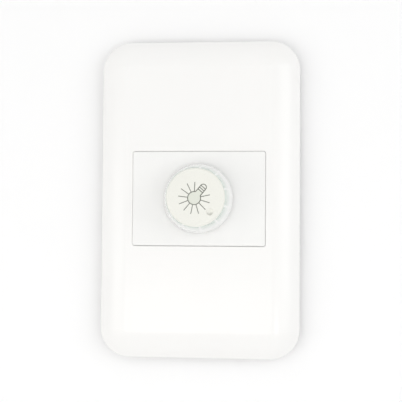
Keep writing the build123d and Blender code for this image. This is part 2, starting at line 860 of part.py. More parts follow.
with BuildPart() as knob_rib:
    with BuildSketch(upright(0, 0)):
        with BuildLine():
            Polyline(
                (knob_base_radius - knob_wall / 2, knob_base + knob_edge_bevel),
                (knob_top_radius - knob_wall / 2, web_back + knob_edge_bevel),
                (knob_top_radius - knob_wall - knob_rib_reach, web_back + knob_edge_bevel),
                (knob_base_radius - knob_wall - knob_rib_reach, knob_base + knob_edge_bevel),
                close=True,
            )
        make_face()
    extrude(amount=knob_rib_thickness / 2, both=True)

with BuildPart() as ribbed_skirt:
    add(knob_skirt.part)
    for number in range(knob_rib_count):
        add(turned(knob_rib.part, 360 / knob_rib_count * number))

with BuildPart() as knob_spring:
    with BuildSketch(WALL.offset(hub_end + spring_rise)):
        add(
            sector(
                hub_radius - spring_thickness,
                hub_radius,
                pointer_angle + 90,
                360 - spring_opening,
            )
        )
    extrude(amount=spring_width)

with BuildPart() as knob_inlay:
    with BuildSketch(WALL.offset(inlay_back)):
        Circle(inlay_radius)
    extrude(amount=inlay_thickness)
    chamfer(knob_inlay.faces().sort_by(Axis.Y)[0].edges(), length=inlay_bevel)
    with BuildSketch(WALL.offset(spigot_back)):
        Circle(spigot_radius)
    extrude(amount=spigot_depth)
    with Locations(WALL.offset(knob_front)):
        with Locations(
            (
                pointer_radius * cos(radians(pointer_angle)),
                pointer_radius * sin(radians(pointer_angle)),
                pointer_size - pointer_depth,
            )
        ):
            Sphere(pointer_size, mode=Mode.SUBTRACT)

# Terminals
with BuildPart() as terminal_block:
    with BuildSketch(WALL.offset(terminal_back)):
        with Locations((0, terminal_z)):
            Rectangle(terminal_width, terminal_height)
    extrude(amount=board_back - part_gap - terminal_back)
    chamfer(terminal_block.edges().filter_by(Axis.Y), length=case_bevel)
    with BuildSketch(WALL.offset(-wire_depth - cage_size / 2 - cage_gap)):
        with Locations((0, terminal_z)):
            with GridLocations(terminal_pitch, 0, 2, 1):
                Rectangle(cage_size + 2 * cage_gap, cage_length + 2 * cage_gap)
    extrude(amount=wire_depth + cage_size / 2 + cage_gap, mode=Mode.SUBTRACT)
    with BuildSketch(WALL.offset(terminal_back)):
        with Locations((0, terminal_z)):
            with GridLocations(terminal_pitch, 0, 2, 1):
                Circle(terminal_head_radius + terminal_well_clearance)
    extrude(amount=-terminal_back - wire_depth, mode=Mode.SUBTRACT)
    with BuildSketch(Plane.XY.offset(terminal_bottom)):
        with Locations((-terminal_pitch / 2, wire_depth), (terminal_pitch / 2, wire_depth)):
            Circle(wire_entry_radius)
    extrude(amount=terminal_height / 2, mode=Mode.SUBTRACT)

with BuildPart() as terminal_cages:
    with BuildSketch(WALL.offset(-wire_depth - cage_size / 2)):
        with Locations((0, terminal_z)):
            with GridLocations(terminal_pitch, 0, 2, 1):
                Rectangle(cage_size, cage_length)
    extrude(amount=cage_size)
    with BuildSketch(WALL.offset(-wire_depth)):
        with Locations((0, cage_pin_z)):
            with GridLocations(terminal_pitch, 0, 2, 1):
                Rectangle(cage_pin_width, cage_pin_thickness)
    extrude(amount=stub_end + wire_depth)
    with BuildSketch(Plane.XY.offset(terminal_z - cage_length / 2)):
        with Locations((-terminal_pitch / 2, wire_depth), (terminal_pitch / 2, wire_depth)):
            Rectangle(cage_bore, cage_bore)
    extrude(amount=cage_length, mode=Mode.SUBTRACT)
    with BuildSketch(WALL.offset(-wire_depth - cage_size / 2)):
        with Locations((0, terminal_z)):
            with GridLocations(terminal_pitch, 0, 2, 1):
                Circle(terminal_screw_radius + terminal_screw_clearance)
    extrude(amount=cage_size / 2, mode=Mode.SUBTRACT)

with BuildPart() as terminal_screws:
    with BuildSketch(WALL.offset(terminal_back + terminal_head_inset)):
        with Locations((0, terminal_z)):
            with GridLocations(terminal_pitch, 0, 2, 1):
                Circle(terminal_head_radius)
    extrude(amount=terminal_head_height)
    with BuildSketch(WALL.offset(terminal_back + terminal_head_inset)):
        with Locations((0, terminal_z)):
            with GridLocations(terminal_pitch, 0, 2, 1):
                Circle(terminal_screw_radius)
    extrude(amount=-terminal_back - terminal_head_inset - wire_depth - terminal_screw_bite)
    with BuildSketch(WALL.offset(terminal_back + terminal_head_inset)):
        with Locations((0, terminal_z)):
            with GridLocations(terminal_pitch, 0, 2, 1):
                Rectangle(2 * terminal_head_radius, terminal_slot)
    extrude(amount=terminal_head_height / 2, mode=Mode.SUBTRACT)

# Triac clamped to its heat sink
with BuildPart() as heat_sink:
    with BuildSketch(Plane.XY.offset(sink_bottom)):
        with Locations((sink_x, sink_start + sink_length / 2)):
            Rectangle(sink_width, sink_length)
        with Locations((sink_x, -tab_hole)):
            Circle(sink_screw_radius + sink_screw_clearance, mode=Mode.SUBTRACT)
    extrude(amount=sink_thickness)

with BuildPart() as triac_tab:
    with BuildSketch(Plane.XY.offset(tab_bottom)):
        with Locations((sink_x, -triac_start + triac_tab_length / 2)):
            Rectangle(triac_width, triac_tab_length)
        with Locations((sink_x, -tab_hole)):
            Circle(triac_hole_radius, mode=Mode.SUBTRACT)
    extrude(amount=triac_tab_thickness)

with BuildPart() as triac_body:
    with BuildSketch(Plane.XY.offset(tab_bottom - triac_body_thickness)):
        with Locations((sink_x, -triac_start + triac_body_length / 2)):
            Rectangle(triac_width, triac_body_length)
    extrude(amount=triac_body_thickness)
    chamfer(triac_body.faces().sort_by(Axis.Z)[0].edges(), length=case_bevel)

with BuildPart() as triac_legs:
    with BuildSketch(WALL.offset(triac_start)):
        with Locations((sink_x, triac_lead_z)):
            with GridLocations(triac_leg_pitch, 0, 3, 1):
                Rectangle(triac_leg_width, triac_leg_thickness)
    extrude(amount=stub_end - triac_start)

with BuildPart() as sink_screw:
    with BuildSketch(Plane.XY.offset(tab_bottom - sink_head_height)):
        with Locations((sink_x, -tab_hole)):
            Circle(sink_head_radius)
    extrude(amount=sink_head_height)
    with BuildSketch(Plane.XY.offset(tab_bottom)):
        with Locations((sink_x, -tab_hole)):
            Circle(sink_screw_radius)
    extrude(amount=triac_tab_thickness + sink_thickness)
    with BuildSketch(Plane.XY.offset(tab_bottom - sink_head_height)):
        with Locations((sink_x, -tab_hole)):
            Rectangle(recess_length, recess_width)
            Rectangle(recess_width, recess_length)
    extrude(amount=recess_depth, mode=Mode.SUBTRACT)

# Choke, lying flat against the board
with BuildPart() as choke_core:
    with BuildSketch(WALL.offset(choke_front - choke_length)):
        with Locations((choke_x, choke_z)):
            Circle(choke_outer)
            Circle(choke_inner, mode=Mode.SUBTRACT)
    extrude(amount=choke_length)

with BuildPart() as choke_winding:
    for number in range(choke_turns):
        turn = upright(choke_x, choke_z, 90 + 360 / choke_turns * number)
        with BuildSketch(turn):
            with Locations(((choke_inner + choke_outer) / 2, choke_front - choke_length / 2)):
                Rectangle(
                    choke_outer - choke_inner + 2 * winding_gap + 2 * winding_wire,
                    choke_length + 2 * winding_gap + 2 * winding_wire,
                )
                Rectangle(
                    choke_outer - choke_inner + 2 * winding_gap,
                    choke_length + 2 * winding_gap,
                    mode=Mode.SUBTRACT,
                )
        extrude(amount=winding_wire / 2, both=True)
    with BuildSketch(WALL.offset(choke_front - choke_length / 2)):
        with Locations(*choke_leads):
            RegularPolygon(winding_wire / 2, 6)
    extrude(amount=board_back - choke_front + choke_length / 2)

with BuildPart() as film_capacitor:
    with BuildSketch(WALL.offset(board_back - part_gap - film_rise)):
        with Locations((film_x, film_z)):
            Rectangle(film_length, film_thickness)
    extrude(amount=film_rise)
    chamfer(film_capacitor.edges().filter_by(Axis.Y), length=case_bevel)

with BuildPart() as fuse:
    with BuildSketch(WALL.offset(board_back - part_gap - fuse_rise)):
        with Locations((fuse_x, fuse_z)):
            Circle(fuse_radius)
    extrude(amount=fuse_rise)

with BuildPart() as timing_capacitor:
    with BuildSketch(WALL.offset(board_back - part_gap - timing_rise)):
        with Locations((timing_x, timing_z)):
            Rectangle(timing_length, timing_thickness)
    extrude(amount=timing_rise)
    chamfer(timing_capacitor.edges().filter_by(Axis.Y), length=case_bevel)

with BuildPart() as resistor:
    with BuildSketch(Plane.YZ.offset(resistor_x - resistor_length / 2)):
        with Locations((axial_rise - board_back, resistor_z)):
            Circle(resistor_radius)
    extrude(amount=resistor_length)

with BuildPart() as diac:
    with BuildSketch(Plane.YZ.offset(diac_x - diac_length / 2)):
        with Locations((axial_rise - board_back, diac_z)):
            Circle(diac_radius)
    extrude(amount=diac_length)

with BuildPart() as component_leads:
    with BuildSketch(WALL.offset(board_back - part_gap)):
        with Locations(*film_leads, *fuse_leads, *timing_leads):
            RegularPolygon(lead_radius, 6)
    extrude(amount=part_gap)
    with BuildSketch(WALL.offset(board_back - axial_rise)):
        with Locations(*resistor_leads, *diac_leads):
            RegularPolygon(lead_radius, 6)
    extrude(amount=axial_rise)
    with BuildSketch(Plane.YZ.offset(resistor_x)):
        with Locations((axial_rise - board_back, resistor_z)):
            RegularPolygon(lead_radius, 6)
    extrude(amount=resistor_lead_pitch / 2 + lead_radius, both=True)
    with BuildSketch(Plane.YZ.offset(diac_x)):
        with Locations((axial_rise - board_back, diac_z)):
            RegularPolygon(lead_radius, 6)
    extrude(amount=diac_lead_pitch / 2 + lead_radius, both=True)
    add(resistor.part, mode=Mode.SUBTRACT)
    add(diac.part, mode=Mode.SUBTRACT)

os.makedirs("parts", exist_ok=True)
cover_plate.part.label = "cover_plate"
export_step(cover_plate.part, "parts/cover_plate.step")
support_frame.part.label = "support_frame"
export_step(support_frame.part, "parts/support_frame.step")
module_front.part.label = "module_front"
export_step(module_front.part, "parts/module_front.step")
rear_housing.part.label = "rear_housing"
export_step(rear_housing.part, "parts/rear_housing.step")
housing_screws.part.label = "housing_screws"
export_step(housing_screws.part, "parts/housing_screws.step")
circuit_board.part.label = "circuit_board"
export_step(circuit_board.part, "parts/circuit_board.step")
pot_bush.part.label = "pot_bush"
export_step(pot_bush.part, "parts/pot_bush.step")
pot_washer.part.label = "pot_washer"
export_step(pot_washer.part, "parts/pot_washer.step")
pot_nut.part.label = "pot_nut"
export_step(pot_nut.part, "parts/pot_nut.step")
pot_wafer.part.label = "pot_wafer"
export_step(pot_wafer.part, "parts/pot_wafer.step")
pot_track.part.label = "pot_track"
export_step(pot_track.part, "parts/pot_track.step")
pot_lugs.part.label = "pot_lugs"
export_step(pot_lugs.part, "parts/pot_lugs.step")
pot_can.part.label = "pot_can"
export_step(pot_can.part, "parts/pot_can.step")
pot_shaft.part.label = "pot_shaft"
export_step(pot_shaft.part, "parts/pot_shaft.step")
pot_rotor.part.label = "pot_rotor"
export_step(pot_rotor.part, "parts/pot_rotor.step")
pot_wiper.part.label = "pot_wiper"
export_step(pot_wiper.part, "parts/pot_wiper.step")
ribbed_skirt.part.label = "knob_skirt"
export_step(ribbed_skirt.part, "parts/knob_skirt.step")
knob_spring.part.label = "knob_spring"
export_step(knob_spring.part, "parts/knob_spring.step")
knob_inlay.part.label = "knob_inlay"
export_step(knob_inlay.part, "parts/knob_inlay.step")
terminal_block.part.label = "terminal_block"
export_step(terminal_block.part, "parts/terminal_block.step")
terminal_cages.part.label = "terminal_cages"
export_step(terminal_cages.part, "parts/terminal_cages.step")
terminal_screws.part.label = "terminal_screws"
export_step(terminal_screws.part, "parts/terminal_screws.step")
heat_sink.part.label = "heat_sink"
export_step(heat_sink.part, "parts/heat_sink.step")
triac_tab.part.label = "triac_tab"
export_step(triac_tab.part, "parts/triac_tab.step")
triac_body.part.label = "triac_body"
export_step(triac_body.part, "parts/triac_body.step")
triac_legs.part.label = "triac_legs"
export_step(triac_legs.part, "parts/triac_legs.step")
sink_screw.part.label = "sink_screw"
export_step(sink_screw.part, "parts/sink_screw.step")
choke_core.part.label = "choke_core"
export_step(choke_core.part, "parts/choke_core.step")
choke_winding.part.label = "choke_winding"
export_step(choke_winding.part, "parts/choke_winding.step")
film_capacitor.part.label = "film_capacitor"
export_step(film_capacitor.part, "parts/film_capacitor.step")
fuse.part.label = "fuse"
export_step(fuse.part, "parts/fuse.step")
timing_capacitor.part.label = "timing_capacitor"
export_step(timing_capacitor.part, "parts/timing_capacitor.step")
resistor.part.label = "resistor"
export_step(resistor.part, "parts/resistor.step")
diac.part.label = "diac"
export_step(diac.part, "parts/diac.step")
component_leads.part.label = "component_leads"
export_step(component_leads.part, "parts/component_leads.step")
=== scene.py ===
import json
from math import atan2, cos, hypot, pi, radians, sin, sqrt

import bpy
from mathutils import Matrix, Vector


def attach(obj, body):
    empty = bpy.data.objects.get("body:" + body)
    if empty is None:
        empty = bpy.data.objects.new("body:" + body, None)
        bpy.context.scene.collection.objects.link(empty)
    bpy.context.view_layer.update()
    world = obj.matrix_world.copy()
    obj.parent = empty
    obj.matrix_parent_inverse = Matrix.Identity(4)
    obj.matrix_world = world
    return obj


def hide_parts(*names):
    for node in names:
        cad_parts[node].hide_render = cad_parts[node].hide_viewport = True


bl_info = {
    "name": "Rotary Wall Dimmer",
    "version": (1, 0, 0),
    "blender": (4, 5, 0),
    "location": "3D View > Sidebar > Dimmer",
    "description": "Dresses a packed wall dimmer and sets up its studio",
    "category": "Object",
}

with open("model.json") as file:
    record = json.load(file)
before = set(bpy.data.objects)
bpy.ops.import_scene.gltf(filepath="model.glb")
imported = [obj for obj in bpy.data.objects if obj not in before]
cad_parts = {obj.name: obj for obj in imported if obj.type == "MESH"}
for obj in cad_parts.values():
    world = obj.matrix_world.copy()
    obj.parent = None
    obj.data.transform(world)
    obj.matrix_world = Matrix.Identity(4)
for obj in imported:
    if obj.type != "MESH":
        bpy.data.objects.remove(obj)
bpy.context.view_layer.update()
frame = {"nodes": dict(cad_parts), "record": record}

# Square to the wall: a primitive turned by this has its own Z out of the wall, towards -Y
FACING_ROOM = (pi / 2, 0, 0)
# Points closer than this, in metres, count as one
SAME_PLACE = 1e-6
# The photograph's side and focal length in pixels, and the camera's sensor in millimetres
PICTURE_SIZE = 402
PICTURE_FOCAL = 866.0
SENSOR_WIDTH = 36.0


# Settings


class PlateSettings(bpy.types.PropertyGroup):
    """Sizes of the cover plate."""

    width: bpy.props.FloatProperty(
        name="Width", description="Plate's width", default=0.074, unit="LENGTH"
    )
    height: bpy.props.FloatProperty(
        name="Height", description="Plate's height", default=0.118, unit="LENGTH"
    )
    corner: bpy.props.FloatProperty(
        name="Corner", description="Radius of the plate's corners", default=0.0108, unit="LENGTH"
    )
    wall: bpy.props.FloatProperty(
        name="Wall", description="Thickness of the plate's wall", default=0.0022, unit="LENGTH"
    )
    crest: bpy.props.FloatProperty(
        name="Crest", description="Height of the flat field", default=0.0075, unit="LENGTH"
    )
    rim: bpy.props.FloatProperty(
        name="Rim", description="Height of the upright rim", default=0.0022, unit="LENGTH"
    )
    border: bpy.props.FloatProperty(
        name="Border", description="Width of the sloping border", default=0.0103, unit="LENGTH"
    )
    border_radius: bpy.props.FloatProperty(
        name="Border radius", description="Radius of the border's arc", default=0.016,
        unit="LENGTH",
    )
    border_steps: bpy.props.IntProperty(
        name="Border steps", description="Facets across the border's arc", default=14
    )
    window_width: bpy.props.FloatProperty(
        name="Window width", description="Width of the window", default=0.049, unit="LENGTH"
    )
    window_height: bpy.props.FloatProperty(
        name="Window height", description="Height of the window", default=0.0349, unit="LENGTH"
    )
    window_corner: bpy.props.FloatProperty(
        name="Window corner", description="Radius of the window's corners", default=0.0008,
        unit="LENGTH",
    )


class KnobSettings(bpy.types.PropertyGroup):
    """Sizes of the knob."""

    base: bpy.props.FloatProperty(
        name="Base", description="Height of the skirt's open end", default=0.0085, unit="LENGTH"
    )
    shoulder: bpy.props.FloatProperty(
        name="Shoulder", description="Height of the skirt's closed end", default=0.0188,
        unit="LENGTH",
    )
    front: bpy.props.FloatProperty(
        name="Front", description="Height of the white disc's face", default=0.0203, unit="LENGTH"
    )
    base_radius: bpy.props.FloatProperty(
        name="Base radius", description="Radius of the skirt's open end", default=0.0127,
        unit="LENGTH",
    )
    shoulder_radius: bpy.props.FloatProperty(
        name="Shoulder radius", description="Radius of the skirt's closed end", default=0.01075,
        unit="LENGTH",
    )
    disc_radius: bpy.props.FloatProperty(
        name="Disc radius", description="Radius of the white disc", default=0.01045, unit="LENGTH"
    )
    spigot_radius: bpy.props.FloatProperty(
        name="Spigot radius", description="Radius of the disc's spigot", default=0.0089,
        unit="LENGTH",
    )
    ribs: bpy.props.IntProperty(
        name="Ribs", description="Ribs inside the clear skirt", default=11
    )
    pointer_reach: bpy.props.FloatProperty(
        name="Pointer reach", description="Dimple's distance from the knob's axis", default=0.0073,
        unit="LENGTH",
    )
    dimple_radius: bpy.props.FloatProperty(
        name="Dimple radius", description="Radius of the dimple's rim", default=0.00131,
        unit="LENGTH",
    )
    dimple_depth: bpy.props.FloatProperty(
        name="Dimple depth", description="Depth of the dimple", default=0.0008, unit="LENGTH"
    )
    pointer_angle: bpy.props.FloatProperty(
        name="Pointer angle", description="Dimple's direction", default=radians(-45),
        subtype="ANGLE",
    )


class FinishSettings(bpy.types.PropertyGroup):
    """Colours of the finishes."""

    plate: bpy.props.FloatVectorProperty(
        name="Plate", description="Cover plate's white", size=3, subtype="COLOR",
        default=(0.93, 0.925, 0.91),
    )
    face: bpy.props.FloatVectorProperty(
        name="Face", description="Module's white", size=3, subtype="COLOR",
        default=(0.905, 0.905, 0.89),
    )
    disc: bpy.props.FloatVectorProperty(
        name="Disc", description="Knob disc's white", size=3, subtype="COLOR",
        default=(0.85, 0.85, 0.79),
    )
    ink: bpy.props.FloatVectorProperty(
        name="Ink", description="Printed picture's grey", size=3, subtype="COLOR",
        default=(0.19, 0.2, 0.17),
    )
    tint: bpy.props.FloatVectorProperty(
        name="Tint", description="Pale grey inside the printed bulb", size=3, subtype="COLOR",
        default=(0.74, 0.76, 0.68),
    )
    frame: bpy.props.FloatVectorProperty(
        name="Frame", description="Support frame's grey", size=3, subtype="COLOR",
        default=(0.72, 0.72, 0.69),
    )
    housing: bpy.props.FloatVectorProperty(
        name="Housing", description="Rear housing's dark grey", size=3, subtype="COLOR",
        default=(0.035, 0.037, 0.04),
    )


class StudioSettings(bpy.types.PropertyGroup):
    """The camera and the lamps."""

    distance: bpy.props.FloatProperty(
        name="Distance", description="From the camera to its target", default=0.325, unit="LENGTH"
    )
    yaw: bpy.props.FloatProperty(
        name="Yaw", description="Camera's turn to the right of the plate", default=0.0916,
        subtype="ANGLE",
    )
    pitch: bpy.props.FloatProperty(
        name="Pitch", description="Camera's upward look", default=0.0344, subtype="ANGLE"
    )
    roll: bpy.props.FloatProperty(
        name="Roll", description="Camera's roll", default=0.0065, subtype="ANGLE"
    )
    target: bpy.props.FloatVectorProperty(
        name="Target", description="Point that the camera looks at", size=3,
        default=(0.00019, 0, -0.00062), subtype="TRANSLATION",
    )
    ambient: bpy.props.FloatProperty(
        name="Ambient", description="Strength of the light from all round", default=0.83
    )
    left: bpy.props.FloatProperty(
        name="Left lamp", description="Power of the lamp at the left, in watts", default=0.6
    )
    right: bpy.props.FloatProperty(
        name="Right lamp", description="Power of the lamp at the right, in watts", default=0.74
    )
    low: bpy.props.FloatProperty(
        name="Low lamp", description="Power of the lamp below, in watts", default=0.28
    )
    small: bpy.props.FloatProperty(
        name="Small lamp", description="Power of the small lamp for glints, in watts", default=0.07
    )
    rear: bpy.props.FloatProperty(
        name="Rear lamp", description="Power of the lamp behind the wall, in watts", default=3.0
    )


# Modelling helpers


def start(name):
    """Names the primitive that was just added, with its place in its mesh."""
    piece = bpy.context.active_object
    piece.name = name
    piece.data.name = name
    bpy.ops.object.transform_apply(location=True, rotation=True, scale=True)
    return piece


def deselect():
    """Leaves nothing selected, in Object Mode."""
    if bpy.context.mode != "OBJECT":
        bpy.ops.object.mode_set(mode="OBJECT")
    bpy.ops.object.select_all(action="DESELECT")


def block(name, centre, size, rotation=(0, 0, 0)):
    """A box by its centre and its size, turned about its centre."""
    deselect()
    bpy.ops.mesh.primitive_cube_add(size=1, location=centre, rotation=rotation)
    bpy.context.active_object.scale = size
    return start(name)


def pick(*pieces):
    """Selects only these pieces, the first one active."""
    deselect()
    for piece in pieces:
        piece.select_set(True)
    bpy.context.view_layer.objects.active = pieces[0]


def choose(piece, kind, test):
    """Opens the piece in Edit Mode with only the elements that pass the test selected."""
    pick(piece)
    mesh = piece.data
    for group in (mesh.vertices, mesh.edges, mesh.polygons):
        for element in group:
            element.select = False
    if kind == "VERT":
        for vertex in mesh.vertices:
            vertex.select = test(vertex.co)
    if kind == "EDGE":
        for edge in mesh.edges:
            ends = [mesh.vertices[i].co for i in edge.vertices]
            edge.select = test(*ends)
    if kind == "FACE":
        for face in mesh.polygons:
            face.select = test(face.center, face.normal)
    bpy.ops.object.mode_set(mode="EDIT")
    bpy.ops.mesh.select_mode(type=kind)


def close_edit():
    """Goes back to Object Mode."""
    bpy.ops.object.mode_set(mode="OBJECT")


def pull(x, y, z):
    """Extrudes what is selected by that much."""
    bpy.ops.mesh.extrude_region_move(TRANSFORM_OT_translate={"value": (x, y, z)})


def modify(piece, kind, **values):
    """Adds a modifier with these values and applies it."""
    pick(piece)
    modifier = piece.modifiers.new(kind.title(), kind)
    for key, value in values.items():
        setattr(modifier, key, value)
    bpy.ops.object.modifier_apply(modifier=modifier.name)


def smooth(piece, angle=30):
    """Rounds the shading over edges flatter than the angle, and keeps big faces flat."""
    pick(piece)
    bpy.ops.object.shade_smooth_by_angle(angle=radians(angle))
    modify(piece, "WEIGHTED_NORMAL", keep_sharp=True, weight=80)


def tidy_normals(piece):
    """Merges doubles and turns all faces outwards."""
    choose(piece, "FACE", lambda centre, normal: True)
    bpy.ops.mesh.remove_doubles(threshold=SAME_PLACE)
    bpy.ops.mesh.normals_make_consistent(inside=False)
    close_edit()


def cut(piece, cutter, operation="DIFFERENCE"):
    """Cuts the cutter out of the piece, or joins it on, and removes the cutter."""
    modify(piece, "BOOLEAN", object=cutter, operation=operation, solver="EXACT")
    bpy.data.objects.remove(cutter)


def at(x, z, height):
    """A point by its place on the wall and its height out of it."""
    return Vector((x, -height, z))


def level(height, *points):
    """Whether all the points stand out of the wall by that height."""
    return all(abs(point.y + height) < SAME_PLACE for point in points)


def ring(point):
    """Distance from the knob's axis."""
    return hypot(point.x, point.z)


def dimple_centre(knob, rise=0):
    """The point over the dimple's middle, so far out of the disc's face."""
    return at(
        knob.pointer_reach * cos(knob.pointer_angle),
        knob.pointer_reach * sin(knob.pointer_angle),
        knob.front + rise,
    )


# Materials


class Finish:
    """A node material under construction, read in the piece's own coordinates."""

    def __init__(self, name):
        self.material = bpy.data.materials.new(name)
        self.material.use_nodes = True
        self.nodes = self.material.node_tree.nodes
        self.links = self.material.node_tree.links
        self.nodes.clear()
        self.output = self.add("ShaderNodeOutputMaterial")
        self.shader = self.add("ShaderNodeBsdfPrincipled")
        self.place = self.add("ShaderNodeTexCoord")
        self.links.new(self.shader.outputs["BSDF"], self.output.inputs["Surface"])

    def add(self, kind, **values):
        """Adds a node with these properties."""
        node = self.nodes.new(kind)
        for key, value in values.items():
            setattr(node, key, value)
        return node

    def link(self, source, target):
        """Links two sockets."""
        self.links.new(source, target)

    def set(self, **values):
        """Sets plain values on the shader, by socket name with _ for spaces."""
        for key, value in values.items():
            self.shader.inputs[key.replace("_", " ")].default_value = value

    def noise(self, scale, detail=3.0, roughness=0.5, stretch=(1, 1, 1)):
        """Noise in the piece's coordinates, at so many grains per metre."""
        mapping = self.add("ShaderNodeMapping")
        mapping.inputs["Scale"].default_value = stretch
        texture = self.add("ShaderNodeTexNoise")
        texture.inputs["Scale"].default_value = scale
        texture.inputs["Detail"].default_value = detail
        texture.inputs["Roughness"].default_value = roughness
        self.link(self.place.outputs["Object"], mapping.inputs["Vector"])
        self.link(mapping.outputs["Vector"], texture.inputs["Vector"])
        return texture.outputs["Fac"]

    def ramp(self, source, low, high, start=0.3, end=0.7):
        """A smooth change from one colour to another."""
        node = self.add("ShaderNodeValToRGB")
        node.color_ramp.elements[0].position = start
        node.color_ramp.elements[0].color = (*low, 1)
        node.color_ramp.elements[1].position = end
        node.color_ramp.elements[1].color = (*high, 1)
        self.link(source, node.inputs["Fac"])
        return node.outputs["Color"]

    def between(self, source, low, high, start=0.3, end=0.7):
        """A number that varies between two values."""
        node = self.add("ShaderNodeMapRange")
        node.inputs["From Min"].default_value = start
        node.inputs["From Max"].default_value = end
        node.inputs["To Min"].default_value = low
        node.inputs["To Max"].default_value = high
        self.link(source, node.inputs["Value"])
        return node.outputs["Result"]

    def mix(self, factor, first, second, blend="MIX"):
        """One colour over another."""
        node = self.add("ShaderNodeMix", data_type="RGBA", blend_type=blend)
        sockets = (node.inputs["Factor"], node.inputs[6], node.inputs[7])
        for socket, value in zip(sockets, (factor, first, second)):
            if isinstance(value, bpy.types.NodeSocket):
                self.link(value, socket)
            else:
                socket.default_value = value
        return node.outputs[2]

    def math(self, operation, first, second):
        """Two numbers combined, the second a plain number or a socket."""
        node = self.add("ShaderNodeMath", operation=operation)
        self.link(first, node.inputs[0])
        if isinstance(second, bpy.types.NodeSocket):
            self.link(second, node.inputs[1])
        else:
            node.inputs[1].default_value = second
        return node.outputs["Value"]

    def axes(self):
        """The place split into X, Y and Z."""
        node = self.add("ShaderNodeSeparateXYZ")
        self.link(self.place.outputs["Object"], node.inputs["Vector"])
        return node.outputs

    def wall_plane(self):
        """The place turned so that a flat pattern lies in the wall's plane."""
        node = self.add("ShaderNodeMapping")
        node.inputs["Rotation"].default_value = (pi / 2, 0, 0)
        self.link(self.place.outputs["Object"], node.inputs["Vector"])
        return node.outputs["Vector"]

    def paint(self, color, roughness):
        """Gives the shader its colour and its roughness."""
        self.link(color, self.shader.inputs["Base Color"])
        self.link(roughness, self.shader.inputs["Roughness"])

    def bump(self, source, distance, strength=1.0):
        """Adds relief of that height in metres, over what is already there."""
        node = self.add("ShaderNodeBump")
        node.inputs["Strength"].default_value = strength
        node.inputs["Distance"].default_value = distance
        normal = self.shader.inputs["Normal"]
        if normal.is_linked:
            self.link(normal.links[0].from_socket, node.inputs["Normal"])
        self.link(source, node.inputs["Height"])
        self.link(node.outputs["Normal"], normal)


def shade(color, factor):
    """The colour made lighter or darker."""
    return tuple(min(1.0, channel * factor) for channel in color)


def moulded(name, color, roughness, grain, relief, vary=0.012):
    """Injection-moulded plastic: flow marks, a fine grain and slightly uneven gloss."""
    finish = Finish(name)
    flow = finish.noise(45, detail=4, roughness=0.55, stretch=(1, 1, 0.4))
    fine = finish.noise(grain, detail=2)
    peel = finish.noise(grain / 6, detail=1)
    finish.paint(
        finish.ramp(flow, shade(color, 1 - vary), shade(color, 1 + vary)),
        finish.between(fine, roughness * 0.85, roughness * 1.2),
    )
    finish.bump(peel, relief * 2, 0.5)
    finish.bump(fine, relief)
    finish.set(IOR=1.5)
    return finish


def moulded_plastic(name, color, roughness, grain, relief, vary=0.012):
    """The material of a plain moulding."""
    return moulded(name, color, roughness, grain, relief, vary).material


def clear_plastic(name, knob):
    """Milky clear plastic, painted darker green-grey towards the shoulder as painted shade, and
    paler along the ribs inside as painted highlights.
    """
    finish = Finish(name)
    depth = finish.between(finish.axes()["Y"], 0, 1, -knob.shoulder, -knob.base)
    angle = finish.add("ShaderNodeTexGradient", gradient_type="RADIAL")
    finish.link(finish.wall_plane(), angle.inputs["Vector"])
    beside = finish.math("PINGPONG", finish.math("MULTIPLY", angle.outputs["Fac"], knob.ribs), 0.5)
    # Painted highlights: pale streaks painted over the ribs inside, standing in for their glints.
    rib_highlight = finish.between(beside, 1, 0, 0.02, 0.1)
    flow = finish.noise(160, detail=2, roughness=0.4, stretch=(1, 0.4, 1))
    # Painted shade: darker green-grey towards the shoulder, where the disc shades the inside of
    # the skirt.
    body = finish.ramp(depth, (0.7, 0.77, 0.72), (0.985, 0.99, 0.98), 0.06, 0.6)
    body = finish.mix(0.12, body, flow, "OVERLAY")
    scuffs = finish.noise(1400, detail=2, stretch=(1, 6, 1))
    finish.paint(
        finish.mix(finish.between(rib_highlight, 0, 0.75, 0, 1), body, (1, 1, 0.995, 1)),
        finish.between(scuffs, 0.12, 0.2),
    )
    finish.bump(rib_highlight, 0.000004)
    finish.set(IOR=1.49, Transmission_Weight=0.05, Coat_Weight=0.6, Coat_Roughness=0.12)
    return finish.material


def disc_plastic(name, color, knob):
    """The disc's satin white, polished inside the pointer dimple, with painted shade low in it and
    a touch of painted light above that.
    """
    finish = moulded(name, color, 0.3, 2600, 0.000006, 0.01)
    centre = dimple_centre(knob)
    apart = finish.add("ShaderNodeVectorMath", operation="DISTANCE")
    apart.inputs[1].default_value = centre
    finish.link(finish.place.outputs["Object"], apart.inputs[0])
    inside = finish.between(
        apart.outputs["Value"], 1, 0, knob.dimple_radius * 0.97, knob.dimple_radius
    )
    axes = finish.axes()
    # Painted shade: the dimple is painted darker towards its lower, deeper part, and a touch
    # lighter above that as painted light.
    low = finish.between(axes["Z"], 1, 0, centre.z - 0.0009, centre.z + 0.0003)
    deep = finish.between(axes["Y"], 0, 1, centre.y, centre.y + 0.0004)
    painted_shade_low = finish.math("MULTIPLY", low, deep)
    painted_dimple_tone = finish.ramp(painted_shade_low, shade(color, 1.04), shade(color, 0.72), 0.1, 0.9)
    moulding, gloss = (
        finish.shader.inputs[socket].links[0].from_socket
        for socket in ("Base Color", "Roughness")
    )
    polish = finish.add("ShaderNodeMix")
    finish.link(inside, polish.inputs["Factor"])
    finish.link(gloss, polish.inputs[2])
    polish.inputs[3].default_value = 0.08
    finish.paint(finish.mix(inside, moulding, painted_dimple_tone), polish.outputs[0])
    return finish.material


def plated_metal(name, color, roughness=0.3, stretch=(1, 12, 1)):
    """Plated or turned metal: fine drawn lines and dull patches."""
    finish = Finish(name)
    lines = finish.noise(900, detail=3, roughness=0.6, stretch=stretch)
    patches = finish.noise(220, detail=5, roughness=0.65)
    finish.paint(
        finish.ramp(patches, shade(color, 0.82), shade(color, 1.08)),
        finish.between(patches, roughness * 0.7, roughness * 1.5),
    )
    finish.bump(lines, 0.000012)
    finish.set(Metallic=1.0)
    return finish.material


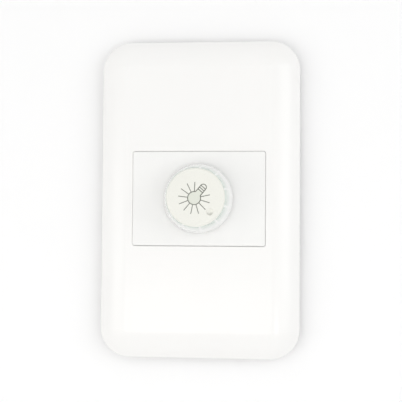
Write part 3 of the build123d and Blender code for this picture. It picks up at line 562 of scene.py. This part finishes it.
def coated(name, color, roughness=0.3, relief=0.00003):
    """Lacquer, epoxy or powder over a small part: soft lumps and uneven gloss."""
    finish = Finish(name)
    lumps = finish.noise(700, detail=3)
    tone = finish.noise(260, detail=5, roughness=0.6)
    finish.paint(
        finish.ramp(tone, shade(color, 0.85), shade(color, 1.15)),
        finish.between(lumps, roughness * 0.8, roughness * 1.3),
    )
    finish.bump(lumps, relief)
    finish.set(Coat_Weight=0.3, Coat_Roughness=0.15)
    return finish.material


def board_mask(name):
    """Green solder mask with lighter tracks under it and a woven base."""
    finish = Finish(name)
    tracks = finish.add("ShaderNodeTexBrick", offset=0.35, squash=0.6)
    finish.link(finish.wall_plane(), tracks.inputs["Vector"])
    tracks.inputs["Scale"].default_value = 160
    tracks.inputs["Mortar Size"].default_value = 0.05
    tracks.inputs["Color1"].default_value = (0.012, 0.09, 0.035, 1)
    tracks.inputs["Color2"].default_value = (0.014, 0.11, 0.04, 1)
    tracks.inputs["Mortar"].default_value = (0.03, 0.2, 0.07, 1)
    weave = finish.noise(1500, detail=2)
    finish.paint(tracks.outputs["Color"], finish.between(weave, 0.2, 0.38))
    finish.bump(weave, 0.00001)
    finish.bump(tracks.outputs["Fac"], 0.00003)
    finish.set(Coat_Weight=0.4)
    return finish.material


def make_finishes(colors, knob):
    """All the finishes of the object, by the record's slots."""
    return {
        "white_gloss": moulded_plastic("plate_white", colors.plate, 0.2, 2200, 0.000004, 0.006),
        "face_white": moulded_plastic("face_white", colors.face, 0.34, 3200, 0.000006, 0.006),
        "knob_white": disc_plastic("disc_white", colors.disc, knob),
        "clear_plastic": clear_plastic("clear_skirt", knob),
        "frame_plastic": moulded_plastic("frame_grey", colors.frame, 0.48, 1800, 0.00001, 0.03),
        "dark_plastic": moulded_plastic("housing_dark", colors.housing, 0.5, 1500, 0.000015, 0.12),
        "board_green": board_mask("board_mask"),
        "phenolic": coated("phenolic_brown", (0.2, 0.09, 0.03), 0.55),
        "carbon_track": coated("carbon_film", (0.01, 0.01, 0.011), 0.6),
        "plated_steel": plated_metal("zinc_plate", (0.6, 0.6, 0.58)),
        "aluminium": plated_metal("turned_aluminium", (0.74, 0.75, 0.76), 0.28, (1, 1, 14)),
        "brass": plated_metal("drawn_brass", (0.72, 0.53, 0.22), 0.25),
        "copper_wire": coated("enamelled_wire", (0.5, 0.13, 0.035), 0.25),
        "tinned_wire": plated_metal("tinned_copper", (0.66, 0.66, 0.64), 0.35),
        "ferrite": coated("powdered_core", (0.55, 0.47, 0.06), 0.55),
        "triac_black": coated("case_black", (0.02, 0.02, 0.022), 0.45),
        "film_yellow": coated("box_yellow", (0.62, 0.38, 0.03), 0.3),
        "fuse_brown": coated("cap_brown", (0.09, 0.03, 0.012), 0.3),
        "capacitor_green": coated("dipped_green", (0.03, 0.17, 0.06), 0.25),
        "resistor_tan": coated("resistor_tan", (0.5, 0.34, 0.17), 0.5),
        "diac_blue": coated("glass_blue", (0.03, 0.1, 0.35), 0.15),
        "terminal_grey": moulded_plastic(
            "block_grey", (0.3, 0.32, 0.33), 0.45, 1800, 0.00001, 0.05
        ),
        "ink": coated("printed_ink", colors.ink, 0.5, 0.000004),
        "tint": moulded_plastic("printed_tint", colors.tint, 0.4, 2600, 0.000004, 0.02),
    }


def dress(piece, finish, body=None):
    """Gives a piece its finish, and a new piece its body."""
    piece.data.materials.clear()
    piece.data.materials.append(bpy.data.materials[finish])
    if body:
        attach(piece, body)


# Operators


class DIMMER_OT_finishes(bpy.types.Operator):
    """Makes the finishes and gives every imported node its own"""

    bl_idname = "dimmer.finishes"
    bl_label = "Finishes"

    def execute(self, context):
        finishes = make_finishes(context.scene.dimmer_finish, context.scene.dimmer_knob)
        for part in frame["record"]["subparts"]:
            node = frame["nodes"][part["node"]]
            dress(node, finishes[part["material_slot"]].name)
        return {"FINISHED"}


def border_points(plate):
    """(distance in from the outline, height) down the border's arc, from the rim up."""
    rise = plate.crest - plate.rim
    chord = hypot(plate.border, rise)
    leg = sqrt(plate.border_radius**2 - (chord / 2) ** 2)
    centre_in = plate.border / 2 + leg * rise / chord
    centre_out = (plate.rim + plate.crest) / 2 - leg * plate.border / chord
    first = atan2(plate.rim - centre_out, -centre_in)
    last = atan2(plate.crest - centre_out, plate.border - centre_in)
    angles = [
        first + (last - first) * step / plate.border_steps
        for step in range(plate.border_steps + 1)
    ]
    return [
        (
            centre_in + plate.border_radius * cos(angle),
            centre_out + plate.border_radius * sin(angle),
        )
        for angle in angles
    ]


class DIMMER_OT_cover_plate(bpy.types.Operator):
    """Models the plate with its crowned border and its window"""

    bl_idname = "dimmer.cover_plate"
    bl_label = "Cover Plate"

    def execute(self, context):
        plate = context.scene.dimmer_plate
        rim_rounding = 0.0004
        window_rounding = 0.00025
        cutter_depth = 0.03
        points = border_points(plate)
        deselect()
        bpy.ops.mesh.primitive_plane_add(size=1, rotation=FACING_ROOM)
        bpy.context.active_object.scale = (plate.width, plate.height, 1)
        piece = start("plate_shell")
        choose(piece, "VERT", lambda point: True)
        bpy.ops.mesh.bevel(affect="VERTICES", offset=plate.corner, segments=20)
        bpy.ops.mesh.select_mode(type="FACE")
        bpy.ops.mesh.select_all(action="SELECT")
        pull(0, -points[0][1], 0)
        for (near_in, near_out), (far_in, far_out) in zip(points, points[1:]):
            bpy.ops.mesh.inset(thickness=far_in - near_in, depth=far_out - near_out)
        choose(piece, "FACE", lambda centre, normal: normal.y > 0.9)
        bpy.ops.mesh.delete(type="FACE")
        close_edit()
        choose(piece, "EDGE", lambda a, b: level(plate.rim, a, b))
        bpy.ops.mesh.bevel(offset=rim_rounding, segments=4)
        close_edit()
        modify(piece, "SOLIDIFY", thickness=plate.wall, offset=-1, use_even_offset=True)

        size = (plate.window_width, cutter_depth, plate.window_height)
        cutter = block("window_cutter", at(0, 0, plate.crest / 2), size)
        choose(cutter, "EDGE", lambda a, b: abs(a.y - b.y) > cutter_depth / 2)
        bpy.ops.mesh.bevel(offset=plate.window_corner, segments=6)
        close_edit()
        cut(piece, cutter)
        reach_x = plate.window_width / 2 + 10 * SAME_PLACE
        reach_z = plate.window_height / 2 + 10 * SAME_PLACE

        def on_window(a, b):
            inside = all(abs(end.x) < reach_x and abs(end.z) < reach_z for end in (a, b))
            return inside and level(plate.crest, a, b)

        choose(piece, "EDGE", on_window)
        bpy.ops.mesh.bevel(offset=window_rounding, segments=3)
        close_edit()
        smooth(piece, 35)
        dress(piece, "plate_white", "base")
        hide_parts("cover_plate")
        return {"FINISHED"}


class DIMMER_OT_plate_back(bpy.types.Operator):
    """Models the clip hooks and the stiffening ribs behind the plate"""

    bl_idname = "dimmer.plate_back"
    bl_label = "Hooks and Ribs"

    def execute(self, context):
        # A hook's barb stands out near the wall, and its end slopes back to the hook's tip
        side = 0.0511
        barb_height, barb_reach, slope = 0.00125, 0.0007, 0.0005
        hook = block("plate_hooks", at(0.018, 0.0503, 0.002975), (0.008, 0.00525, 0.0016))

        def at_tip(point):
            return point.z > side + barb_reach / 2 and point.y > -barb_height / 2

        choose(hook, "FACE", lambda centre, normal: True)
        bpy.ops.mesh.bisect(plane_co=at(0, 0, barb_height), plane_no=(0, 1, 0))
        close_edit()
        choose(hook, "FACE", lambda centre, normal: normal.z > 0.9 and centre.y > -barb_height)
        pull(0, 0, barb_reach)
        close_edit()
        choose(hook, "VERT", at_tip)
        bpy.ops.transform.translate(value=(0, 0, -slope))
        close_edit()
        modify(hook, "BEVEL", width=0.00006, segments=2, limit_method="ANGLE")
        modify(hook, "MIRROR", use_axis=(True, False, True))
        smooth(hook, 40)
        dress(hook, "plate_white", "base")

        rib_draft = 0.0001
        rib = block("plate_ribs", at(0, 0.028, 0.0044), (0.056, 0.0018, 0.0012))
        choose(rib, "FACE", lambda centre, normal: normal.y > 0.9)
        bpy.ops.mesh.inset(thickness=rib_draft)
        bpy.ops.transform.translate(value=(0, rib_draft, 0))
        close_edit()
        modify(rib, "MIRROR", use_axis=(False, False, True))
        smooth(rib, 40)
        dress(rib, "plate_white", "base")
        return {"FINISHED"}


class DIMMER_OT_knob_skirt(bpy.types.Operator):
    """Models the clear tapered skirt with its ribs and its hub"""

    bl_idname = "dimmer.knob_skirt"
    bl_label = "Knob Skirt"

    def execute(self, context):
        knob = context.scene.dimmer_knob
        wall = 0.0015
        rounding = 0.0003
        web_back = 0.0158
        hub_radius, hub_wall, hub_length = 0.0048, 0.00175, 0.0042
        bore_depth = 0.006
        rib_height = 0.0007
        seat_radius, seat_depth = 0.009, 0.001
        deselect()
        bpy.ops.mesh.primitive_cone_add(
            vertices=12 * knob.ribs,
            radius1=knob.base_radius,
            radius2=knob.shoulder_radius,
            depth=knob.shoulder - knob.base,
            location=at(0, 0, (knob.base + knob.shoulder) / 2),
            rotation=FACING_ROOM,
        )
        piece = start("skirt_shell")
        choose(piece, "EDGE", lambda a, b: abs(a.y - b.y) < SAME_PLACE)
        bpy.ops.mesh.bevel(offset=rounding, segments=4)
        close_edit()
        choose(piece, "FACE", lambda centre, normal: normal.y > 0.99)
        bpy.ops.mesh.inset(thickness=wall - rounding)
        pull(0, knob.base - web_back, 0)
        taper = (knob.shoulder_radius - wall) / (knob.base_radius - wall)
        bpy.ops.transform.resize(value=(taper, 1, taper), center_override=at(0, 0, web_back))
        bpy.ops.mesh.inset(thickness=knob.shoulder_radius - wall - hub_radius)
        pull(0, hub_length, 0)
        bpy.ops.mesh.inset(thickness=hub_wall)
        pull(0, -bore_depth, 0)
        close_edit()

        # Facets on the skirt's inside, past its rounded end: two of each twelve are a rib
        pitch = 2 * pi / knob.ribs

        def on_rib(centre, normal):
            inward = normal.x * centre.x + normal.z * centre.z < 0
            in_skirt = ring(centre) > 0.008 and centre.y < -0.009
            angle = (atan2(centre.z, centre.x) + pitch / 12) % pitch
            return inward and in_skirt and angle < pitch / 6

        choose(piece, "FACE", on_rib)
        bpy.ops.mesh.extrude_region_shrink_fatten(
            TRANSFORM_OT_shrink_fatten={"value": -rib_height}
        )
        close_edit()
        choose(piece, "FACE", lambda centre, normal: level(knob.shoulder, centre))
        bpy.ops.mesh.inset(thickness=knob.shoulder_radius - rounding - seat_radius)
        pull(0, seat_depth, 0)
        close_edit()
        tidy_normals(piece)
        smooth(piece, 32)
        dress(piece, "clear_skirt", "knob")
        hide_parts("knob_skirt")
        return {"FINISHED"}


class DIMMER_OT_knob_disc(bpy.types.Operator):
    """Models the white disc with its rounded edge and pointer dimple"""

    bl_idname = "dimmer.knob_disc"
    bl_label = "Knob Disc"

    def execute(self, context):
        knob = context.scene.dimmer_knob
        rounding = 0.0008
        spigot_length = 0.001
        deselect()
        bpy.ops.mesh.primitive_cylinder_add(
            vertices=160,
            radius=knob.disc_radius,
            depth=knob.front - knob.shoulder,
            location=at(0, 0, (knob.front + knob.shoulder) / 2),
            rotation=FACING_ROOM,
        )
        piece = start("disc_body")
        choose(piece, "EDGE", lambda a, b: level(knob.front, a, b))
        bpy.ops.mesh.bevel(offset=rounding, segments=8)
        close_edit()
        choose(piece, "FACE", lambda centre, normal: normal.y > 0.99)
        bpy.ops.mesh.inset(thickness=knob.disc_radius - knob.spigot_radius)
        pull(0, spigot_length, 0)
        close_edit()
        depth = knob.dimple_depth
        ball = (knob.dimple_radius**2 + depth**2) / (2 * depth)
        deselect()
        bpy.ops.mesh.primitive_uv_sphere_add(
            segments=64,
            ring_count=48,
            radius=ball,
            location=dimple_centre(knob, ball - depth),
            rotation=FACING_ROOM,
        )
        cut(piece, start("dimple_cutter"))
        smooth(piece, 40)
        dress(piece, "disc_white", "knob")
        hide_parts("knob_inlay")
        return {"FINISHED"}


def softened(node, finish, width, marks=()):
    """A copy of a packed moulding with its sharp edges rounded off and marks sunk in it."""
    mark_depth = 0.0004
    source = frame["nodes"][node]
    piece = source.copy()
    piece.data = source.data.copy()
    piece.name = node + "_soft"
    bpy.context.scene.collection.objects.link(piece)
    choose(piece, "FACE", lambda centre, normal: True)
    bpy.ops.mesh.remove_doubles(threshold=SAME_PLACE)
    bpy.ops.mesh.dissolve_limited(angle_limit=radians(1))
    close_edit()
    for x, z, height, radius in marks:
        deselect()
        bpy.ops.mesh.primitive_cylinder_add(
            vertices=40, radius=radius, depth=mark_depth, rotation=FACING_ROOM,
            location=at(x, z, height),
        )
        cut(piece, start("ejector_mark"))
    modify(
        piece,
        "BEVEL",
        width=width,
        segments=2,
        limit_method="ANGLE",
        angle_limit=radians(50),
        use_clamp_overlap=True,
    )
    choose(piece, "FACE", lambda centre, normal: True)
    bpy.ops.mesh.dissolve_degenerate(threshold=SAME_PLACE)
    close_edit()
    smooth(piece, 35)
    dress(piece, finish, "base")
    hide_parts(node)
    return piece


class DIMMER_OT_mouldings(bpy.types.Operator):
    """Rounds the edges of the frame, the module's two halves and the terminal block"""

    bl_idname = "dimmer.mouldings"
    bl_label = "Mouldings"

    def execute(self, context):
        # Round marks of the ejector pins and of the gate, each as x, z, height and radius
        pins = [(x, z, 0, 0.0016) for x in (-0.027, 0.027) for z in (-0.047, 0.047)]
        pins += [(x, z, 0, 0.0013) for x in (-0.01, 0.01) for z in (-0.028, 0.028)]
        gate = [(0, -0.0015, -0.03, 0.0012)]
        softened("support_frame", "frame_grey", 0.00015, pins)
        softened("module_front", "face_white", 0.00012)
        softened("rear_housing", "housing_dark", 0.0002, gate)
        softened("terminal_block", "block_grey", 0.00012)
        return {"FINISHED"}


def stroke(name, x, z, angle, length, width, height, thickness):
    """A printed line with rounded ends, centred on the point and turned in the wall plane."""
    deselect()
    bpy.ops.mesh.primitive_plane_add(size=1, rotation=FACING_ROOM)
    bpy.context.active_object.scale = (length, width, 1)
    piece = start(name)
    choose(piece, "VERT", lambda point: True)
    bpy.ops.mesh.bevel(affect="VERTICES", offset=width * 0.45, segments=4)
    bpy.ops.mesh.select_mode(type="FACE")
    bpy.ops.mesh.select_all(action="SELECT")
    pull(0, -thickness, 0)
    close_edit()
    piece.matrix_world = (
        Matrix.Translation(at(x, z, height)) @ Matrix.Rotation(-angle, 4, "Y")
    )
    return start(name)


def loop(name, x, z, radius, width, height, thickness, in_gap):
    """A printed circle, open where a facet's centre passes the test."""
    deselect()
    bpy.ops.mesh.primitive_circle_add(
        vertices=64, radius=radius + width / 2, fill_type="NGON", rotation=FACING_ROOM,
        location=at(x, z, height),
    )
    piece = start(name)
    choose(piece, "FACE", lambda centre, normal: True)
    bpy.ops.mesh.inset(thickness=width)
    bpy.ops.mesh.delete(type="FACE")
    close_edit()
    choose(piece, "FACE", in_gap)
    bpy.ops.mesh.delete(type="FACE")
    bpy.ops.mesh.select_all(action="SELECT")
    pull(0, -thickness, 0)
    close_edit()
    return piece


class DIMMER_OT_bulb_print(bpy.types.Operator):
    """Prints a lit bulb on the knob's disc"""

    bl_idname = "dimmer.bulb_print"
    bl_label = "Bulb Print"

    def execute(self, context):
        x, z = -0.0004, -0.0003
        lean = radians(49.7)
        line = 0.00033
        bulb = 0.0023
        half_neck = 0.0011
        neck_start = sqrt(bulb**2 - half_neck**2)
        cap_end = 0.005
        thread_reaches = (0.0034, 0.0042, cap_end)
        tips, tip_length = 8, 0.00055
        rays, ray_length, ray_reach = 11, 0.0033, 0.00408
        # Degrees from the cap's direction to the first ray, and from each ray to the next
        ray_first, ray_step = 38, 28.4
        sunk, thickness = 0.00001, 0.00003
        height = context.scene.dimmer_knob.front - sunk

        def along(distance, across):
            return (
                x + distance * cos(lean) - across * sin(lean),
                z + distance * sin(lean) + across * cos(lean),
            )

        deselect()
        bpy.ops.mesh.primitive_cylinder_add(
            vertices=64, radius=bulb, depth=thickness, rotation=FACING_ROOM,
            location=at(x, z, height),
        )
        fill = start("bulb_fill")
        size = (bulb * 0.55, thickness * 0.9, 2 * half_neck)
        neck = block("neck_fill", at(*along(bulb * 1.2, 0), height), size, (0, -lean, 0))
        pick(fill, neck)
        bpy.ops.object.join()
        dress(fill, "printed_tint", "knob")

        def in_neck(centre, normal):
            reach = (centre.x - x) * cos(lean) + (centre.z - z) * sin(lean)
            return reach > neck_start

        piece = loop("bulb_print", x, z, bulb, line, height, thickness, in_neck)
        marks = [piece]

        def mark(name, place, angle, length, width):
            marks.append(stroke(name, *place, angle, length, width, height, thickness))

        # The neck's sides, the threads, the cap's rounded end and the rays
        for side in (-half_neck, half_neck):
            middle = along((neck_start + cap_end) / 2, side)
            mark("neck", middle, lean, cap_end - neck_start, line)
        for reach in thread_reaches:
            mark("thread", along(reach, 0), lean + pi / 2, 2 * half_neck, line * 0.95)
        for step in range(tips):
            turn = radians(180 * (step + 0.5) / tips - 90)
            place = along(cap_end + half_neck * cos(turn), half_neck * sin(turn))
            mark("tip", place, lean + turn + pi / 2, tip_length, line * 0.9)
        for step in range(rays):
            angle = lean + radians(ray_first + ray_step * step)
            place = (x + ray_reach * cos(angle), z + ray_reach * sin(angle))
            mark("ray", place, angle, ray_length, line * 0.85)
        pick(*marks)
        bpy.ops.object.join()
        choose(piece, "FACE", lambda centre, normal: True)
        bpy.ops.mesh.normals_make_consistent(inside=False)
        close_edit()
        dress(piece, "printed_ink", "knob")
        return {"FINISHED"}


def lamp(name, place, width, height, power, color):
    """A soft rectangular lamp that points at the plate's middle."""
    light = bpy.data.lights.new(name, "AREA")
    light.shape = "RECTANGLE"
    light.size = width
    light.size_y = height
    light.energy = power
    light.color = color
    holder = bpy.data.objects.new(name, light)
    bpy.context.scene.collection.objects.link(holder)
    holder.location = place
    holder.rotation_euler = (-Vector(place)).to_track_quat("-Z", "Y").to_euler()


def camera_lift(nodes, links, strength):
    """A glow's strength, so much for camera rays and none for others."""
    path = nodes.new("ShaderNodeLightPath")
    lift = nodes.new("ShaderNodeMath")
    lift.operation = "MULTIPLY"
    lift.inputs[1].default_value = strength
    links.new(path.outputs["Is Camera Ray"], lift.inputs[0])
    return lift.outputs["Value"]


def wall_finish():
    """Pale wall, lifted to white for the camera, that is open from behind."""
    material = bpy.data.materials.new("studio_wall")
    material.use_nodes = True
    nodes = material.node_tree.nodes
    links = material.node_tree.links
    nodes.clear()
    output = nodes.new("ShaderNodeOutputMaterial")
    paint = nodes.new("ShaderNodeBsdfDiffuse")
    paint.inputs["Color"].default_value = (0.95, 0.95, 0.95, 1)
    glow = nodes.new("ShaderNodeEmission")
    both = nodes.new("ShaderNodeAddShader")
    side = nodes.new("ShaderNodeNewGeometry")
    clear = nodes.new("ShaderNodeBsdfTransparent")
    mix = nodes.new("ShaderNodeMixShader")
    links.new(camera_lift(nodes, links, 0.02), glow.inputs["Strength"])
    links.new(paint.outputs["BSDF"], both.inputs[0])
    links.new(glow.outputs["Emission"], both.inputs[1])
    links.new(side.outputs["Backfacing"], mix.inputs["Fac"])
    links.new(both.outputs["Shader"], mix.inputs[1])
    links.new(clear.outputs["BSDF"], mix.inputs[2])
    links.new(mix.outputs["Shader"], output.inputs["Surface"])
    return material


def floor_finish():
    """Pale floor, lifted to white for the camera."""
    material = bpy.data.materials.new("studio_floor")
    material.use_nodes = True
    nodes = material.node_tree.nodes
    links = material.node_tree.links
    shader = nodes["Principled BSDF"]
    shader.inputs["Base Color"].default_value = (0.85, 0.85, 0.85, 1)
    shader.inputs["Roughness"].default_value = 0.9
    shader.inputs["Emission Color"].default_value = (1, 1, 1, 1)
    links.new(camera_lift(nodes, links, 0.25), shader.inputs["Emission Strength"])
    return material


class DIMMER_OT_studio(bpy.types.Operator):
    """Sets up the wall, the floor, the lamps and the camera"""

    bl_idname = "dimmer.studio"
    bl_label = "Studio"

    def execute(self, context):
        scene = context.scene
        studio = scene.dimmer_studio
        scene.view_settings.view_transform = "Standard"

        # The wall stands a little behind the plate, so the plate's rim keeps its shadow line,
        # and is open for the wall box, so light from behind reaches the frame
        wall_gap, opening = 0.003, (0.054, 0.096, 1)
        growth, rise = (60, 1, 40), 1.5
        floor_size, floor_level = 6, -0.4
        deselect()
        bpy.ops.mesh.primitive_plane_add(size=1, rotation=FACING_ROOM, location=(0, wall_gap, 0))
        bpy.context.active_object.scale = opening
        wall = start("studio_wall")
        choose(wall, "EDGE", lambda a, b: True)
        bpy.ops.mesh.extrude_edges_move()
        bpy.ops.transform.resize(value=growth)
        bpy.ops.transform.translate(value=(0, 0, rise))
        close_edit()
        choose(wall, "FACE", lambda centre, normal: ring(centre) < SAME_PLACE)
        bpy.ops.mesh.delete(type="FACE")
        close_edit()
        wall.data.materials.append(wall_finish())
        deselect()
        bpy.ops.mesh.primitive_plane_add(size=floor_size, location=(0, 0, floor_level))
        floor = start("studio_floor")
        floor.data.materials.append(floor_finish())

        world = bpy.data.worlds.new("studio_light")
        world.use_nodes = True
        scene.world = world
        nodes = world.node_tree.nodes
        links = world.node_tree.links
        light = nodes["Background"]
        light.inputs["Color"].default_value = (1, 1, 1, 1)
        light.inputs["Strength"].default_value = studio.ambient
        white = nodes.new("ShaderNodeBackground")
        white.inputs["Color"].default_value = (1, 1, 1, 1)
        white.inputs["Strength"].default_value = 1.0
        path = nodes.new("ShaderNodeLightPath")
        seen = path.outputs["Is Camera Ray"]
        for ray in ("Is Glossy Ray", "Is Transmission Ray"):
            either = nodes.new("ShaderNodeMath")
            either.operation = "MAXIMUM"
            links.new(seen, either.inputs[0])
            links.new(path.outputs[ray], either.inputs[1])
            seen = either.outputs["Value"]
        mix = nodes.new("ShaderNodeMixShader")
        links.new(seen, mix.inputs["Fac"])
        links.new(light.outputs["Background"], mix.inputs[1])
        links.new(white.outputs["Background"], mix.inputs[2])
        links.new(mix.outputs["Shader"], nodes["World Output"].inputs["Surface"])

        lamp("lamp_left", (-0.55, -0.5, -0.16), 0.4, 0.5, studio.left, (1, 0.99, 0.97))
        lamp("lamp_right", (0.6, -0.5, 0.1), 0.4, 0.5, studio.right, (0.97, 0.985, 1))
        lamp("lamp_low", (-0.1, -0.55, -0.16), 0.3, 0.2, studio.low, (1, 0.97, 0.95))
        lamp("lamp_small", (0.22, -0.42, -0.12), 0.05, 0.05, studio.small, (1, 1, 1))
        lamp("lamp_rear", (-0.5, 0.6, 0.45), 0.5, 0.5, studio.rear, (1, 1, 1))

        forward = Vector(
            (
                -sin(studio.yaw) * cos(studio.pitch),
                cos(studio.yaw) * cos(studio.pitch),
                sin(studio.pitch),
            )
        )
        right = Vector((cos(studio.yaw), sin(studio.yaw), 0))
        up = right.cross(forward)
        rolled_right = cos(studio.roll) * right + sin(studio.roll) * up
        rolled_up = cos(studio.roll) * up - sin(studio.roll) * right
        lens = bpy.data.cameras.new("camera")
        lens.sensor_width = SENSOR_WIDTH
        lens.lens = PICTURE_FOCAL / PICTURE_SIZE * SENSOR_WIDTH
        lens.clip_start = 0.01
        camera = bpy.data.objects.new("camera", lens)
        scene.collection.objects.link(camera)
        turn = Matrix((rolled_right, rolled_up, -forward)).transposed().to_4x4()
        place = Vector(studio.target) - forward * studio.distance
        camera.matrix_world = Matrix.Translation(place) @ turn
        scene.camera = camera
        return {"FINISHED"}


class DIMMER_PT_panel(bpy.types.Panel):
    """Lists the dimmer's operators and settings"""

    bl_idname = "DIMMER_PT_panel"
    bl_label = "Rotary Wall Dimmer"
    bl_space_type = "VIEW_3D"
    bl_region_type = "UI"
    bl_category = "Dimmer"

    def draw(self, context):
        for operator in OPERATORS:
            self.layout.operator(operator.bl_idname)
        for group in SETTINGS:
            box = self.layout.box()
            settings = getattr(context.scene, group)
            for name in settings.bl_rna.properties.keys():
                if name not in ("rna_type", "name"):
                    box.prop(settings, name)


SETTINGS = {
    "dimmer_plate": PlateSettings,
    "dimmer_knob": KnobSettings,
    "dimmer_finish": FinishSettings,
    "dimmer_studio": StudioSettings,
}
OPERATORS = (
    DIMMER_OT_finishes,
    DIMMER_OT_cover_plate,
    DIMMER_OT_plate_back,
    DIMMER_OT_mouldings,
    DIMMER_OT_knob_skirt,
    DIMMER_OT_knob_disc,
    DIMMER_OT_bulb_print,
    DIMMER_OT_studio,
)


def register():
    """Registers the classes and hangs the settings on the scene."""
    for group in (*SETTINGS.values(), *OPERATORS, DIMMER_PT_panel):
        bpy.utils.register_class(group)
    for name, group in SETTINGS.items():
        setattr(bpy.types.Scene, name, bpy.props.PointerProperty(type=group))


def unregister():
    """Takes the settings and the classes away again."""
    for name in SETTINGS:
        delattr(bpy.types.Scene, name)
    for group in reversed((*SETTINGS.values(), *OPERATORS, DIMMER_PT_panel)):
        bpy.utils.unregister_class(group)


def main():
    """Builds the dressed dimmer and its studio."""
    register()
    bpy.ops.dimmer.finishes()
    bpy.ops.dimmer.cover_plate()
    bpy.ops.dimmer.plate_back()
    bpy.ops.dimmer.mouldings()
    bpy.ops.dimmer.knob_skirt()
    bpy.ops.dimmer.knob_disc()
    bpy.ops.dimmer.bulb_print()
    bpy.ops.dimmer.studio()
    deselect()


if __name__ == "__main__":
    main()
